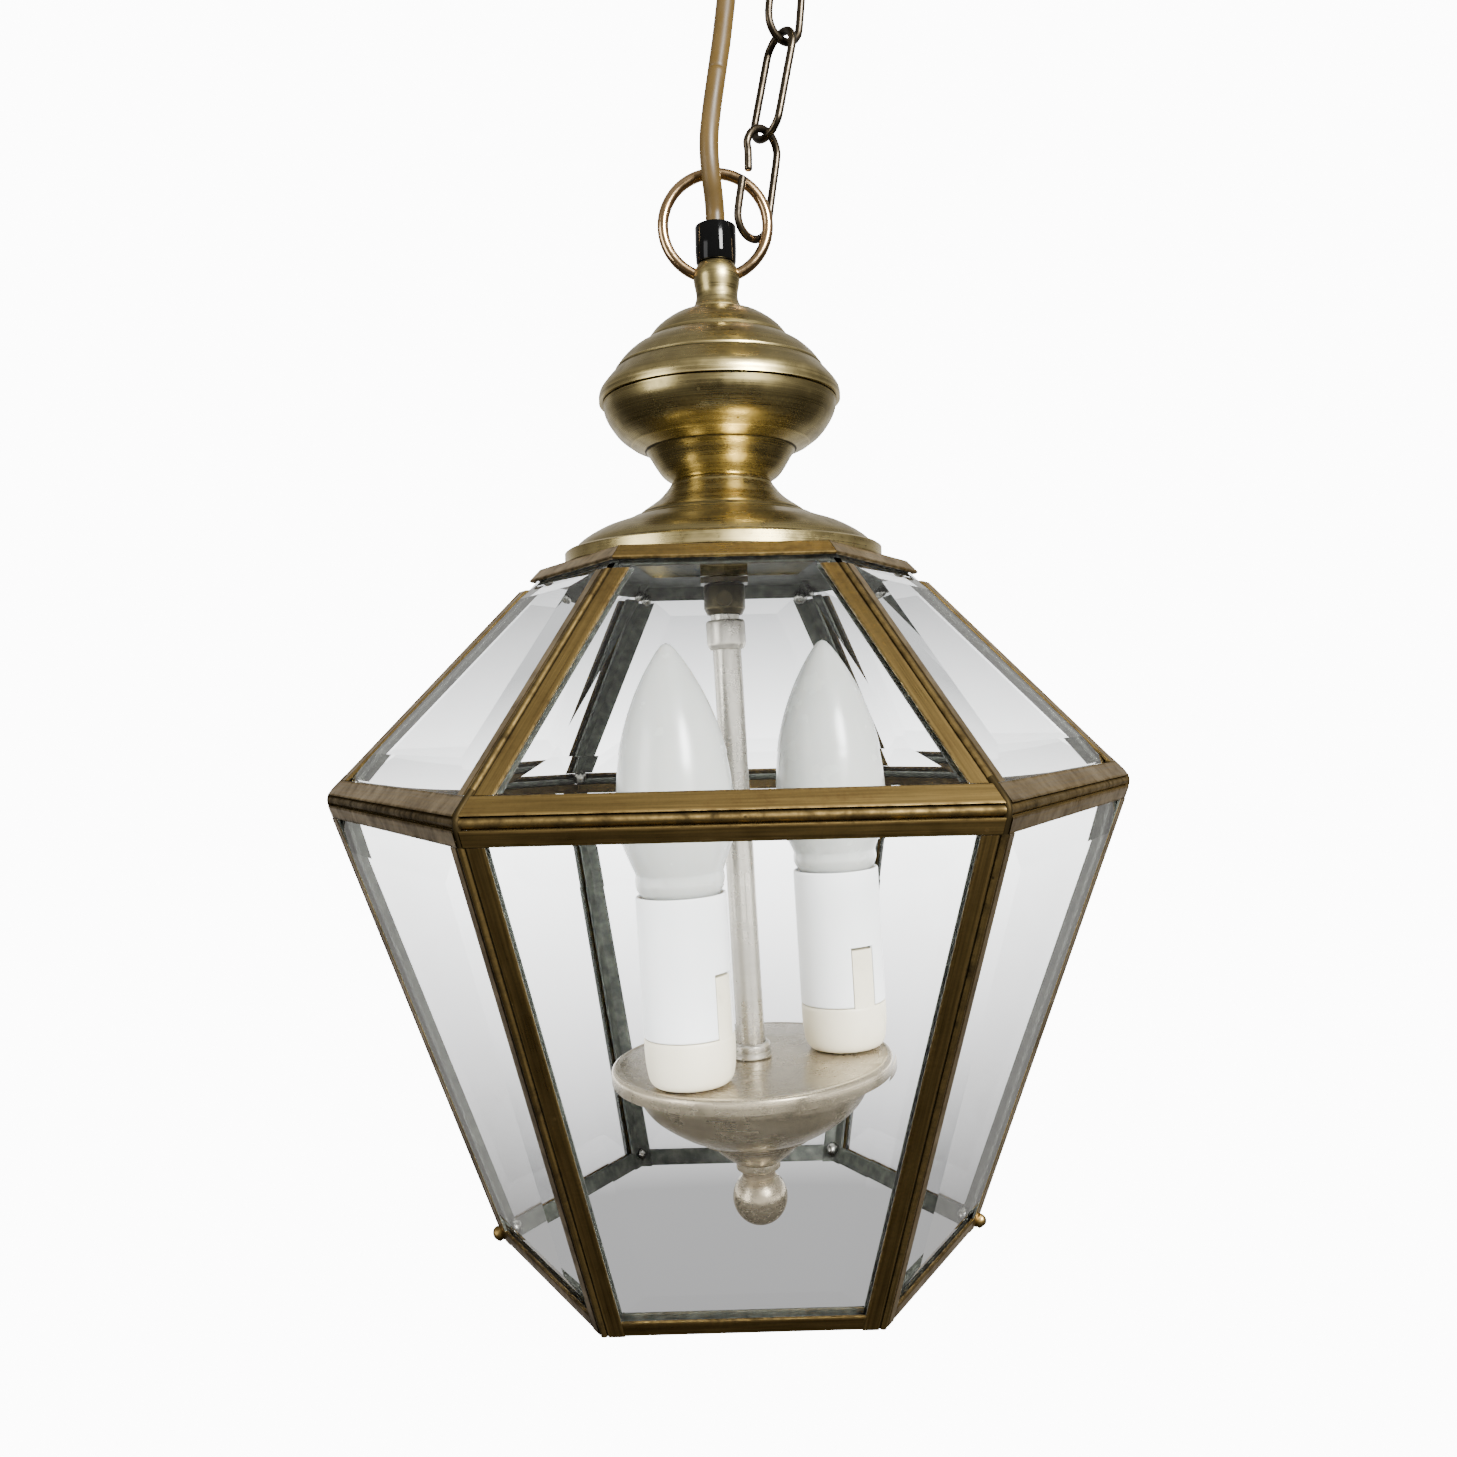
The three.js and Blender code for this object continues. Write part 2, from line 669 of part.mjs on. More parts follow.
// A corner came: a channel on each side of a core, along the edge from one corner to the other,
// cut level at its two ends. It is built for the corner at 0 degrees.
function cornerCame(lowR, lowZ, highR, highZ, cutLow, cutHigh) {
  const edge = vec(highR - lowR, 0, highZ - lowZ).normalize();
  const sideways = vec(0, 1, 0);
  const inward = vec(-edge.z, 0, edge.x);
  const half = Math.PI / 3;
  const nextCorner = (r, z) => vec(r * Math.cos(half), r * Math.sin(half), z);
  const alongFoot = nextCorner(lowR, lowZ).sub(vec(lowR, 0, lowZ));
  const leafway = alongFoot.addScaledVector(edge, -alongFoot.dot(edge)).normalize();
  const cosB = leafway.dot(sideways);
  const sinB = leafway.dot(inward);
  const at = (s, n, side) => [side * (s * cosB - n * sinB), s * sinB + n * cosB];
  const full = 2 * CAME_SKIN + CAME_SLOT;
  const rightHalf = [
    [CORNER_LEAF, 0],
    [CORNER_LEAF, CAME_SKIN],
    [CORNER_CORE, CAME_SKIN],
    [CORNER_CORE, CAME_SKIN + CAME_SLOT],
    [CORNER_LEAF, CAME_SKIN + CAME_SLOT],
    [CORNER_LEAF, full],
  ];
  const section = [
    [0, 0],
    ...rightHalf.map(([s, n]) => at(s, n, 1)),
    [0, full / cosB],
    ...rightHalf.reverse().map(([s, n]) => at(s, n, -1)),
  ];
  const base = vec(lowR, 0, lowZ);
  const level = (z) =>
    section.map(([u, v]) => {
      const p = base.clone().addScaledVector(sideways, u).addScaledVector(inward, v);
      return p.addScaledVector(edge, (z - p.z) / edge.z);
    });
  return prism(level(cutLow), level(cutHigh));
}

// A closed solid between two outlines with the same number of points.
function prism(lower, upper) {
  const count = lower.length;
  const flat = new THREE.Shape(lower.map((p) => new THREE.Vector2(p.x, p.y)));
  const caps = THREE.ShapeUtils.triangulateShape(flat.getPoints().slice(0, count), []);
  const positions = [...lower, ...upper].flatMap((p) => [p.x, p.y, p.z]);
  const index = [];
  for (const [a, b, c] of caps) index.push(a, c, b, a + count, b + count, c + count);
  const turn = THREE.ShapeUtils.area(lower.map((p) => new THREE.Vector2(p.x, p.y))) > 0;
  for (let i = 0; i < count; i++) {
    const j = (i + 1) % count;
    const quad = turn ? [i, j, j + count, i + count] : [j, i, i + count, j + count];
    index.push(quad[0], quad[1], quad[2], quad[0], quad[2], quad[3]);
  }
  const geometry = new THREE.BufferGeometry();
  geometry.setAttribute("position", new THREE.Float32BufferAttribute(positions, 3));
  geometry.setIndex(index);
  return closed(geometry);
}

// The level where a came clears the leaf of a rail that starts at z and slopes along.
const clearOf = (z, leaf, slope) => z + slope[1] * leaf + Math.sign(slope[1]) * GAP;

const hipCame = () =>
  cornerCame(
    GIRDLE_R,
    GIRDLE_GROOVE,
    ROOF_TOP_R,
    ROOF_H,
    clearOf(GIRDLE_GROOVE, EAVES_LEAF, roofFace.up),
    clearOf(ROOF_H, CURB_LEAF, roofFace.down) - 3,
  );
const postCame = () =>
  cornerCame(
    BODY_FOOT_R,
    -BODY_H,
    GIRDLE_R,
    -GIRDLE_GROOVE,
    clearOf(-BODY_H, BODY_LEAF, bodyFace.up) + 1.5,
    clearOf(-GIRDLE_GROOVE, BODY_LEAF, bodyFace.down),
  );

// A bevelled pane in the face whose middle lies at 30 degrees, set in the channels all round.
function pane(faceLine, lowCore, highCore) {
  const { low, high, length, up } = faceLine;
  const out = [up[1], -up[0]];
  const lowHalf = low[0] * TAN30;
  const highHalf = high[0] * TAN30;
  const sideSlope = Math.atan2(lowHalf - highHalf, length);
  const outline = (inset, depth) => {
    const sideInset = (CORNER_CORE + GLASS_FIT + inset) / Math.cos(sideSlope);
    return [
      [lowCore + GLASS_FIT + inset, -1],
      [lowCore + GLASS_FIT + inset, 1],
      [length - highCore - GLASS_FIT - inset, 1],
      [length - highCore - GLASS_FIT - inset, -1],
    ].map(([s, side]) => {
      const half = lowHalf + (highHalf - lowHalf) * (s / length) - sideInset;
      const r = low[0] + up[0] * s - out[0] * depth;
      return vec(r, side * half, low[1] + up[1] * s - out[1] * depth);
    });
  };
  const edgeFront = CAME_SKIN + GLASS_FIT;
  const rings = [
    outline(0, edgeFront + GLASS_EDGE),
    outline(0, edgeFront),
    outline(GLASS_LAND, edgeFront),
    outline(GLASS_LAND + GLASS_BEVEL, edgeFront + GLASS_EDGE - GLASS_THICK),
  ];
  const positions = rings.flat().flatMap((p) => [p.x, p.y, p.z]);
  const index = [0, 1, 2, 0, 2, 3, 12, 14, 13, 12, 15, 14];
  for (const base of [0, 4, 8]) {
    for (let i = 0; i < 4; i++) {
      const j = (i + 1) % 4;
      const [a, b, c, d] = [base + i, base + j, base + 4 + j, base + 4 + i];
      index.push(a, c, b, a, d, c);
    }
  }
  const geometry = new THREE.BufferGeometry();
  geometry.setAttribute("position", new THREE.Float32BufferAttribute(positions, 3));
  geometry.setIndex(index);
  return closed(geometry.rotateZ(Math.PI / 6));
}

for (let i = 0; i < 6; i++) {
  const turn = (i * Math.PI) / 3;
  const number = i + 1;
  add(lantern, `roof_hip_${number}`, hipCame(), cameBrass).rotation.z = turn;
  add(lantern, `corner_post_${number}`, postCame(), cameBrass).rotation.z = turn;
  add(lantern, `roof_glass_${number}`, pane(roofFace, EAVES_CORE, CURB_CORE), clearGlass)
    .rotation.z = turn;
  add(lantern, `body_glass_${number}`, pane(bodyFace, BODY_CORE, BODY_CORE), clearGlass)
    .rotation.z = turn;
}

// ---- lamp cluster ----
const cluster = new THREE.Group();
cluster.position.z = couplerFoot;
cluster.rotation.y = deg(-CLUSTER_LEAN);
lantern.add(cluster);
const fromPivot = (z) => z - couplerFoot; // heights in the leaning cluster's own frame

function coupler() {
  const body = turned(
    [
      [TUBE_HOLE_R, couplerTop],
      [TUBE_HOLE_R, couplerFoot + 1.5],
      [STEM_R + 0.5, couplerFoot + 1.5],
      [STEM_R + 0.5, couplerFoot],
      [COUPLER_R - 1, couplerFoot],
      [COUPLER_R, couplerFoot + 2],
      [COUPLER_R, couplerTop],
    ],
  );
  const hole = rod(COUPLER_SCREW_R + GAP, 0, COUPLER_R + 2, 14).rotateX(Math.PI / 2);
  return cut(body, hole.translate(0, 0, couplerFoot + 4.5));
}
add(lantern, "coupler", coupler(), darkBronze);

function couplerScrew() {
  const shank = rod(COUPLER_SCREW_R, STEM_R + 1, COUPLER_R + 0.6, 14);
  const head = rod(COUPLER_SCREW_HEAD_R, COUPLER_R + GAP, COUPLER_R + 1.6, 18);
  const slot = new THREE.BoxGeometry(0.7, 6, 0.8).translate(0, 0, COUPLER_R + 1.6);
  return cut(joined(shank, head), slot).rotateX(Math.PI / 2);
}
add(lantern, "coupler_screw", couplerScrew(), darkBronze).position.z = couplerFoot + 4.5;

const collarTop = -COLLAR_BELOW_COUPLER;
const panTop = fromPivot(PAN_Z);
const bowlHead = panTop - PAN_RIM - GAP;
const bowlTip = bowlHead - PAN_BOWL_H;
const finialTop = bowlTip - GAP;
const stemHoleR = STEM_R + GAP;

add(
  cluster,
  "stem_collar",
  turned(
    [
      [stemHoleR, collarTop],
      [stemHoleR, collarTop - COLLAR_H],
      [COLLAR_R - 0.8, collarTop - COLLAR_H],
      [COLLAR_R, collarTop - COLLAR_H + 1.6],
      [COLLAR_R, collarTop - 0.6],
      [COLLAR_R - 0.6, collarTop],
    ],
  ),
  satinNickel,
);
add(cluster, "stem_tube", pipe(STEM_R, STEM_BORE_R, finialTop - 3, 1, 16), satinNickel);
add(
  cluster,
  "base_collar",
  turned(
    [
      [stemHoleR, panTop + GAP + COLLAR_H / 2],
      [stemHoleR, panTop + GAP],
      [COLLAR_R + 0.4, panTop + GAP],
      [COLLAR_R, panTop + GAP + 1.5],
      [COLLAR_R, panTop + COLLAR_H / 2 - 0.8],
      [COLLAR_R - 0.8, panTop + GAP + COLLAR_H / 2],
    ],
  ),
  satinNickel,
);

function pan() {
  const body = turned(
    [
      [stemHoleR, panTop],
      [stemHoleR, panTop - WALL],
      [PAN_R - 2.4, panTop - WALL],
      [PAN_R - WALL, panTop - WALL - 1],
      [PAN_R - WALL, panTop - PAN_RIM],
      [PAN_R, panTop - PAN_RIM],
      [PAN_R, panTop - 1],
      [PAN_R - 1, panTop],
    ],
    28,
  );
  return body;
}
add(cluster, "pan", pan(), agedBrass);

function panBowl() {
  const down = (d) => bowlHead - (d / PAN_BOWL_DRAWN_H) * PAN_BOWL_H;
  const line = [
    [PAN_BOWL_R, bowlHead],
    [PAN_BOWL_R - 1, down(3.4)],
    [PAN_BOWL_R - 5.5, down(8.4)],
    [PAN_BOWL_R - 12.5, down(12.9)],
    [PAN_BOWL_R - 20.5, down(16)],
    [PAN_BOWL_R - 23, down(17)],
    [PAN_BOWL_R - 24.2, down(18.6)],
    [PAN_BOWL_R - 28, bowlTip + 1.2],
    [FINIAL_COLLAR_R + 0.6, bowlTip],
    [stemHoleR, bowlTip],
  ];
  const inner = [
    [stemHoleR, bowlTip + WALL],
    [FINIAL_COLLAR_R, bowlTip + WALL],
    [PAN_BOWL_R - 26.5, down(18.2)],
    [PAN_BOWL_R - 24, down(15.9)],
    [PAN_BOWL_R - 13.2, down(11.8)],
    [PAN_BOWL_R - 6.4, down(7.5)],
    [PAN_BOWL_R - WALL - 1.1, down(3)],
    [PAN_BOWL_R - WALL, bowlHead],
  ];
  return turned([...line, ...inner]);
}
add(cluster, "pan_bowl", panBowl(), agedBrass);

function finial() {
  const ballZ = finialTop - FINIAL_H + FINIAL_BALL_R;
  const profile = [
    [0, finialTop - 4],
    [stemHoleR, finialTop - 4],
    [stemHoleR, finialTop],
    [FINIAL_COLLAR_R, finialTop],
    [FINIAL_COLLAR_R, finialTop - 2],
    [FINIAL_COLLAR_R - 1.8, finialTop - 3.2],
  ];
  for (let a = 50; a > -90; a -= 20) {
    const [c, s] = [Math.cos(deg(a)), Math.sin(deg(a))];
    profile.push([FINIAL_BALL_R * c, ballZ + FINIAL_BALL_R * s]);
  }
  profile.push([0, ballZ - FINIAL_BALL_R]);
  return turned(profile);
}
add(cluster, "finial", finial(), agedBrass);

// A candle lamp holder: a tapered base with its socket, and a sleeve notched for the base's tongue.
const sleeveBore = HOLDER_R - SLEEVE_WALL;
const socketTop = HOLDER_BASE_H + SLEEVE_H - 8;

function holderBase(notchTurn) {
  const tongueOut = HOLDER_R - 0.1;
  const core = turned(
    [
      [BULB_CAP_R + 0.5, socketTop],
      [BULB_CAP_R + 0.5, 6],
      [4, 6],
      [4, 0],
      [HOLDER_FOOT_R, 0],
      [HOLDER_R - 1, 4],
      [HOLDER_R, 9],
      [HOLDER_R, HOLDER_BASE_H],
      [BULB_CAP_R + 3, HOLDER_BASE_H],
      [BULB_CAP_R + 3, socketTop],
    ],
    24,
  );
  const tongueIn = BULB_CAP_R + 2;
  const tongue = new THREE.BoxGeometry(tongueOut - tongueIn, NOTCH_WIDTH - 2 * GAP, NOTCH_H)
    .translate((tongueOut + tongueIn) / 2, 0, HOLDER_BASE_H - 1 + NOTCH_H / 2 - GAP)
    .rotateZ(deg(notchTurn));
  return joined(core, tongue);
}

function sleeve(notchTurn) {
  const tube = pipe(HOLDER_R, sleeveBore, 0, SLEEVE_H, 24);
  const notch = new THREE.BoxGeometry(HOLDER_R, NOTCH_WIDTH, 2 * NOTCH_H)
    .translate(HOLDER_R, 0, 0)
    .rotateZ(deg(notchTurn));
  return cut(tube, notch);
}

// Candle bulb: screw cap, neck and drawn-out glass. z = 0 is the sleeve's top.
function bulb() {
  const share = (h) => (h / BULB_DRAWN_H) * BULB_H;
  return turned(
    [
      [0, -BULB_CAP_H - 5],
      [3, -BULB_CAP_H - 5],
      [BULB_CAP_R, -BULB_CAP_H - 2],
      [BULB_CAP_R, -6],
      [BULB_NECK_R - 1.2, -3],
      [BULB_NECK_R, 0],
      [BULB_NECK_R + 2, share(5)],
      [BULB_R - 1.6, share(12)],
      [BULB_R - 0.3, share(19)],
      [BULB_R, share(26)],
      [BULB_R - 0.6, share(34)],
      [BULB_R * 0.87, share(43)],
      [BULB_R * 0.68, share(52)],
      [BULB_R * 0.46, share(61)],
      [BULB_R * 0.27, share(68)],
      [BULB_R * 0.13, share(73)],
      [0, BULB_H],
    ],
  );
}

const lamps = [
  ["left", HOLDER_LEFT, NOTCH_LEFT],
  ["right", HOLDER_RIGHT, NOTCH_RIGHT],
];
for (const [side, [x, y], notchTurn] of lamps) {
  const holder = new THREE.Group();
  holder.position.set(x, y, panTop + GAP);
  cluster.add(holder);
  add(holder, `holder_base_${side}`, holderBase(notchTurn), creamPlastic);
  const tube = add(holder, `candle_sleeve_${side}`, sleeve(notchTurn), whitePlastic);
  tube.position.z = HOLDER_BASE_H + GAP;
  const sleeveTop = HOLDER_BASE_H + GAP + SLEEVE_H;
  add(holder, `bulb_${side}`, bulb(), opalGlass).position.z = sleeveTop;
}

export default root;
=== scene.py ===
import math
from math import cos, pi, radians, sin

import bpy
from mathutils import Matrix, Vector


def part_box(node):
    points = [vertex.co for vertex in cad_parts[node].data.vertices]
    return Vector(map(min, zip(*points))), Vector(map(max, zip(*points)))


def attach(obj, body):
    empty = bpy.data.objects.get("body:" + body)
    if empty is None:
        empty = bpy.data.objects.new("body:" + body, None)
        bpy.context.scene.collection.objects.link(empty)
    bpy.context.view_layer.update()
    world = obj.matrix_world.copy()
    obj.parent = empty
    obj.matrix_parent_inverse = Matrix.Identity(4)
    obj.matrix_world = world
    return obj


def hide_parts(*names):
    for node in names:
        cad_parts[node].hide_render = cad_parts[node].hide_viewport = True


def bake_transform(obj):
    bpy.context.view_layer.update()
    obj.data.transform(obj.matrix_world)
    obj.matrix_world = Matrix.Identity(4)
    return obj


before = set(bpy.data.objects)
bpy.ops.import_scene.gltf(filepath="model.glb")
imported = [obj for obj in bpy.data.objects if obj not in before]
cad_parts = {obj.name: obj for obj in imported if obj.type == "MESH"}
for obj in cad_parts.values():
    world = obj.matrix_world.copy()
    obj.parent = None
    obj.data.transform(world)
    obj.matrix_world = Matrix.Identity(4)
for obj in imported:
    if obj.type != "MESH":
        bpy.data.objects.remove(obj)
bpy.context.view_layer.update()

# ---- Places and sizes ----
MM = 0.001
COS30 = cos(radians(30))
TAN30 = math.tan(radians(30))
GAP = 0.3


def middle(node):
    low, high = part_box(node)
    return (low + high) / 2


# The lantern's own origin is on its axis, in the girdle where roof and body meet.
ORIGIN = middle("girdle_wire")
LANTERN = Matrix.Translation(ORIGIN) @ Matrix.Scale(MM, 4)
ROOM = Matrix.Scale(MM, 4)


def height(node, side):
    """A node's lowest (0) or highest (1) level, in millimetres above the girdle."""
    return (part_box(node)[side].z - ORIGIN.z) / MM


GRIP_FOOT, GRIP_TOP = height("cord_grip", 0), height("cord_grip", 1)
NECK_FOOT, NECK_TOP = height("loop_neck", 0), height("loop_neck", 1)
CAP_FOOT, CAP_TOP = height("canopy_cap", 0), height("canopy_cap", 1)
BOWL_FOOT = height("canopy_bowl", 0)
CROWN_FOOT, CROWN_TOP = height("canopy_crown", 0), height("canopy_crown", 1)
COUPLER_FOOT, COUPLER_TOP = height("coupler", 0), height("coupler", 1)

RING_R = 16.5
RING_WIRE_R = 1.75
PIN_IN = 5
RING_Z = height("suspension_ring", 1) - RING_R - RING_WIRE_R
FLEX_R = 3
TUBE_HOLE_R = 5.2
WALL = 1.2
CAP_R = 37.9
BOWL_R = 36.7
WAIST_R = 15.8
CROWN_R = 49.6

GIRDLE_R = 127
ROOF_TOP_R = 57.8
ROOF_H = 71
BODY_FOOT_R = 75
BODY_H = 140
GROOVE = 1.65

CLUSTER_LEAN = 2.1
STEM_R = 4.5
STEM_BORE = 3.2
COLLAR_R = 6.15
COLLAR_H = 9.3
COLLAR_BORE = 4.8
PAN_Z = -84.5
PAN_R = 44.4
PAN_RIM = 4.8
PAN_BOWL_R = 37.7
PAN_BOWL_H = 27.6
FINIAL_H = 20
BALL_R = 8.65
HOLDER_LEFT = (-18.2, -25.6)
HOLDER_RIGHT = (30.4, 5)
HOLDER_R = 13.5
HOLDER_BASE_H = 14.5
SLEEVE_H = 41.2
SLEEVE_WALL = 0.9
NOTCH_WIDTH = 7.9
NOTCH_H = 18.6
NOTCH_LEFT = -33
NOTCH_RIGHT = -64
BULB_R = 17.5
BULB_H = 73.8
BULB_DRAWN_H = 75.2

LINK_WIRE_R = 1.25
LINK_PITCH = 34.2
LINK_HALF_WIDTH = 6.55
HOOK_DROP = 47
HOOK_WIRE_R = 2.2
HOOK_LOOP_R = 7
HOOK_TURN = 130
ROSE_FOOT = -26
BUSH_X = -19

# The lamp cluster hangs a little out of true from the coupler.
CLUSTER = LANTERN @ Matrix.Translation((0, 0, COUPLER_FOOT))
CLUSTER @= Matrix.Rotation(radians(-CLUSTER_LEAN), 4, "Y")
PAN_TOP = PAN_Z - COUPLER_FOOT

# ---- Camera ----
CAMERA_PLACE = Vector((-2.3, -390.1, 22.2))
CAMERA_YAW, CAMERA_PITCH, CAMERA_ROLL = -0.378, -0.415, 1.411
SENSOR_WIDTH, LENS = 36, 30.52


def camera():
    made = bpy.data.objects.new("camera", bpy.data.cameras.new("camera"))
    bpy.context.scene.collection.objects.link(made)
    made.data.sensor_width = SENSOR_WIDTH
    made.data.lens = LENS
    made.data.clip_start = 0.01
    made.data.clip_end = 50
    place = Matrix.Translation(LANTERN @ CAMERA_PLACE)
    place @= Matrix.Rotation(radians(CAMERA_YAW), 4, "Z")
    place @= Matrix.Rotation(radians(CAMERA_PITCH), 4, "X")
    place @= Matrix.Rotation(radians(CAMERA_ROLL), 4, "Y")
    made.matrix_world = place @ Matrix.Rotation(pi / 2, 4, "X")
    bpy.context.scene.camera = made


camera()

# ---- Lines and outlines ----
# The turn in radians that counts as fully sharp, the distance of an added point from its corner,
# and how many points of a spun shell's outside there are for each one inside.
SHARP_TURN = 0.7
EXTRA_STEP = 0.6
INSIDE_STEP = 3


def smooth(points, step=0.8):
    """Points along a smooth curve through the given ones, about a step apart."""
    points = [Vector(p) for p in points]
    ends = [2 * points[0] - points[1], *points, 2 * points[-1] - points[-2]]
    out = []
    for a, b, c, d in zip(ends, ends[1:], ends[2:], ends[3:]):
        count = max(1, round((c - b).length / step))
        for i in range(count):
            t = i / count
            curved = (2 * a - 5 * b + 4 * c - d) * t**2 + (3 * b - a - 3 * c + d) * t**3
            out.append(0.5 * (2 * b + (c - a) * t + curved))
    return [*out, points[-1]]


def arc(centre, radius, start, end, count):
    """Points round an arc, angles in degrees."""
    turns = [radians(start + (end - start) * i / count) for i in range(count + 1)]
    return [Vector((centre[0] + radius * cos(a), centre[1] + radius * sin(a))) for a in turns]


def rounded(points, radius, closed=True):
    """The same outline with its corners rounded."""
    points = [Vector(p) for p in points]
    out = []
    for i, p in enumerate(points):
        if not closed and i in (0, len(points) - 1):
            out.append(p)
            continue
        before, after = points[i - 1] - p, points[(i + 1) % len(points)] - p
        reach = min(radius, before.length * 0.4, after.length * 0.4)
        if abs(before.angle(after) - pi) < 0.12 or reach < 1e-4:
            out.append(p)
            continue
        a, b = p + before.normalized() * reach, p + after.normalized() * reach
        out += [a, (a + 2 * p + b) / 4, b]
    return out


def dense(points):
    """The same closed outline with a point close to each end of its longer edges."""
    out = []
    for p, q in zip(points, [*points[1:], points[0]]):
        out.append(p)
        if (q - p).length > 3 * EXTRA_STEP:
            step = (q - p).normalized() * EXTRA_STEP
            out += [p + step, q - step]
    return out


def tones(points):
    """1 on a sharp outer edge, -1 deep in a groove, 0 on a plain stretch of a closed outline."""
    after = [*points[1:], points[0]]
    area = sum(p[0] * q[1] - q[0] * p[1] for p, q in zip(points, after))
    raw = []
    for i, p in enumerate(points):
        a, b = p - points[i - 1], after[i] - p
        if a.length < 1e-6 or b.length < 1e-6:
            raw.append(0)
            continue
        turn = math.atan2(a.normalized().cross(b.normalized()), a.dot(b))
        raw.append(max(-1, min(1, turn / SHARP_TURN * (1 if area > 0 else -1))))
    return raw


def shell(outer):
    """A closed sheet-metal profile from its outer line, which runs from the hole to the rim."""
    inner = []
    for i, p in enumerate(outer):
        a, b = outer[max(i - 1, 0)], outer[min(i + 1, len(outer) - 1)]
        d = (b - a).normalized()
        inner.append(p + Vector((d.y, -d.x)) * WALL * (1 if outer[-1].y < outer[0].y else -1))
    inner = inner[::INSIDE_STEP]
    inner[0] = Vector((TUBE_HOLE_R, inner[0].y))
    inner.append(Vector((outer[-1].x - WALL, outer[-1].y)))
    return [*outer, *reversed(inner)]


# ---- Meshes ----


def piece(name, points, faces, place, look, body, replaced=(), data=None, sharp=38):
    """A mesh object riding on a body; data holds a number for each vertex under each name."""
    mesh = bpy.data.meshes.new(name)
    mesh.from_pydata([place @ Vector(p) for p in points], [], faces)
    for key, values in (data or {}).items():
        mesh.attributes.new(key, "FLOAT", "POINT").data.foreach_set("value", values)
    mesh.validate()
    fix_facing(mesh)
    mesh.shade_smooth()
    mesh.set_sharp_from_angle(angle=radians(sharp))
    mesh.materials.append(look)
    made = bpy.data.objects.new(name, mesh)
    bpy.context.scene.collection.objects.link(made)
    if body:
        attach(made, body)
    if replaced:
        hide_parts(*([replaced] if isinstance(replaced, str) else replaced))
    return made


def fix_facing(mesh):
    """Turns the faces outwards on a closed mesh that came out inside out."""
    volume = 0
    for face in mesh.polygons:
        corners = [mesh.vertices[i].co for i in face.vertices]
        for b, c in zip(corners[1:], corners[2:]):
            volume += corners[0].dot(b.cross(c))
    if volume < 0:
        mesh.flip_normals()


class Mesh:
    """Vertices, faces and vertex numbers gathered from several solids."""

    def __init__(self):
        self.points, self.faces = [], []
        self.data = {"tone": [], "across": [], "along": [], "hidden": []}

    def solid(self, points, faces, tone, across, along, hidden=None):
        """hidden is 1 where a surface faces the inside, which was never polished."""
        base = len(self.points)
        self.data["hidden"] += hidden or [0.0] * len(points)
        self.points += points
        self.faces += [[base + i for i in face] for face in faces]
        self.data["tone"] += tone
        self.data["across"] += across
        self.data["along"] += along

    def piece(self, name, place, look, body, replaced=(), sharp=38):
        return piece(name, self.points, self.faces, place, look, body, replaced, self.data, sharp)


def run_lengths(points):
    """How far along the line each point lies."""
    out = [0.0]
    for a, b in zip(points, points[1:]):
        out.append(out[-1] + (Vector(b) - Vector(a)).length)
    return out


def turned(mesh, profile, segments=96):
    """Adds a solid of revolution about +Z; the profile closes on itself or on the axis."""
    profile = [Vector(p) for p in profile]
    tone, across = tones(profile), run_lengths(profile)
    points, rows, extra = [], [], [[], [], []]
    for (r, z), t, s in zip(profile, tone, across):
        if r < 1e-6:
            rows.append([len(points)] * segments)
            around = [(0, 0, z)]
        else:
            rows.append([len(points) + i for i in range(segments)])
            turns = [2 * pi * i / segments for i in range(segments)]
            around = [(r * cos(a), r * sin(a), z) for a in turns]
        points += around
        extra[0] += [t] * len(around)
        extra[1] += [s * MM] * len(around)
        extra[2] += [0.0] * len(around)
    faces = []
    pairs = list(zip(rows, rows[1:]))
    if profile[0][0] > 1e-6:
        pairs.append((rows[-1], rows[0]))
    for low, high in pairs:
        for i in range(segments):
            j = (i + 1) % segments
            face = [low[i], low[j], high[j], high[i]]
            face = [v for k, v in enumerate(face) if v not in face[:k]]
            if len(face) > 2:
                faces.append(face)
    mesh.solid(points, faces, *extra)


def lathe(name, profile, place, look, body, replaced=(), segments=96, sharp=38):
    mesh = Mesh()
    turned(mesh, profile, segments)
    mesh.piece(name, place, look, body, replaced, sharp)


def swept(mesh, path, radius, closed=False, sides=20, blunt=0.35):
    """Adds round wire along a path, its ends a little rounded."""
    path = [Vector(p) for p in path]
    count = len(path)
    lengths = run_lengths(path)
    ahead = (path[1] - path[0]).normalized()
    side = ahead.orthogonal().normalized()
    rings = []
    for i, p in enumerate(path):
        before = path[i - 1] if i or closed else path[0]
        after = path[(i + 1) % count] if i < count - 1 or closed else path[-1]
        d = (after - before).normalized()
        side = (side - d * side.dot(d)).normalized()
        rings.append((p, d, side.copy(), radius, lengths[i]))
    if not closed:
        p, d, s, r, along = rings[0]
        rings = [(p, d, s, r - blunt, along), (p + d * blunt, d, s, r, along + blunt), *rings[1:]]
        p, d, s, r, along = rings[-1]
        rings = [*rings[:-1], (p - d * blunt, d, s, r, along - blunt), (p, d, s, r - blunt, along)]
    points, across, far = [], [], []
    for p, d, s, r, along in rings:
        t = d.cross(s)
        for k in range(sides):
            a = 2 * pi * k / sides
            points.append(p + (s * cos(a) + t * sin(a)) * r)
            across.append(radius * sin(a) * MM)
            far.append(along * MM)
    faces = []
    for i in range(len(rings) if closed else len(rings) - 1):
        a, b = i * sides, ((i + 1) % len(rings)) * sides
        for k in range(sides):
            j = (k + 1) % sides
            faces.append([a + k, a + j, b + j, b + k])
    if not closed:
        faces.append(list(range(sides)))
        faces.append([len(points) - 1 - k for k in range(sides)])
    mesh.solid(points, faces, [0.0] * len(points), across, far)


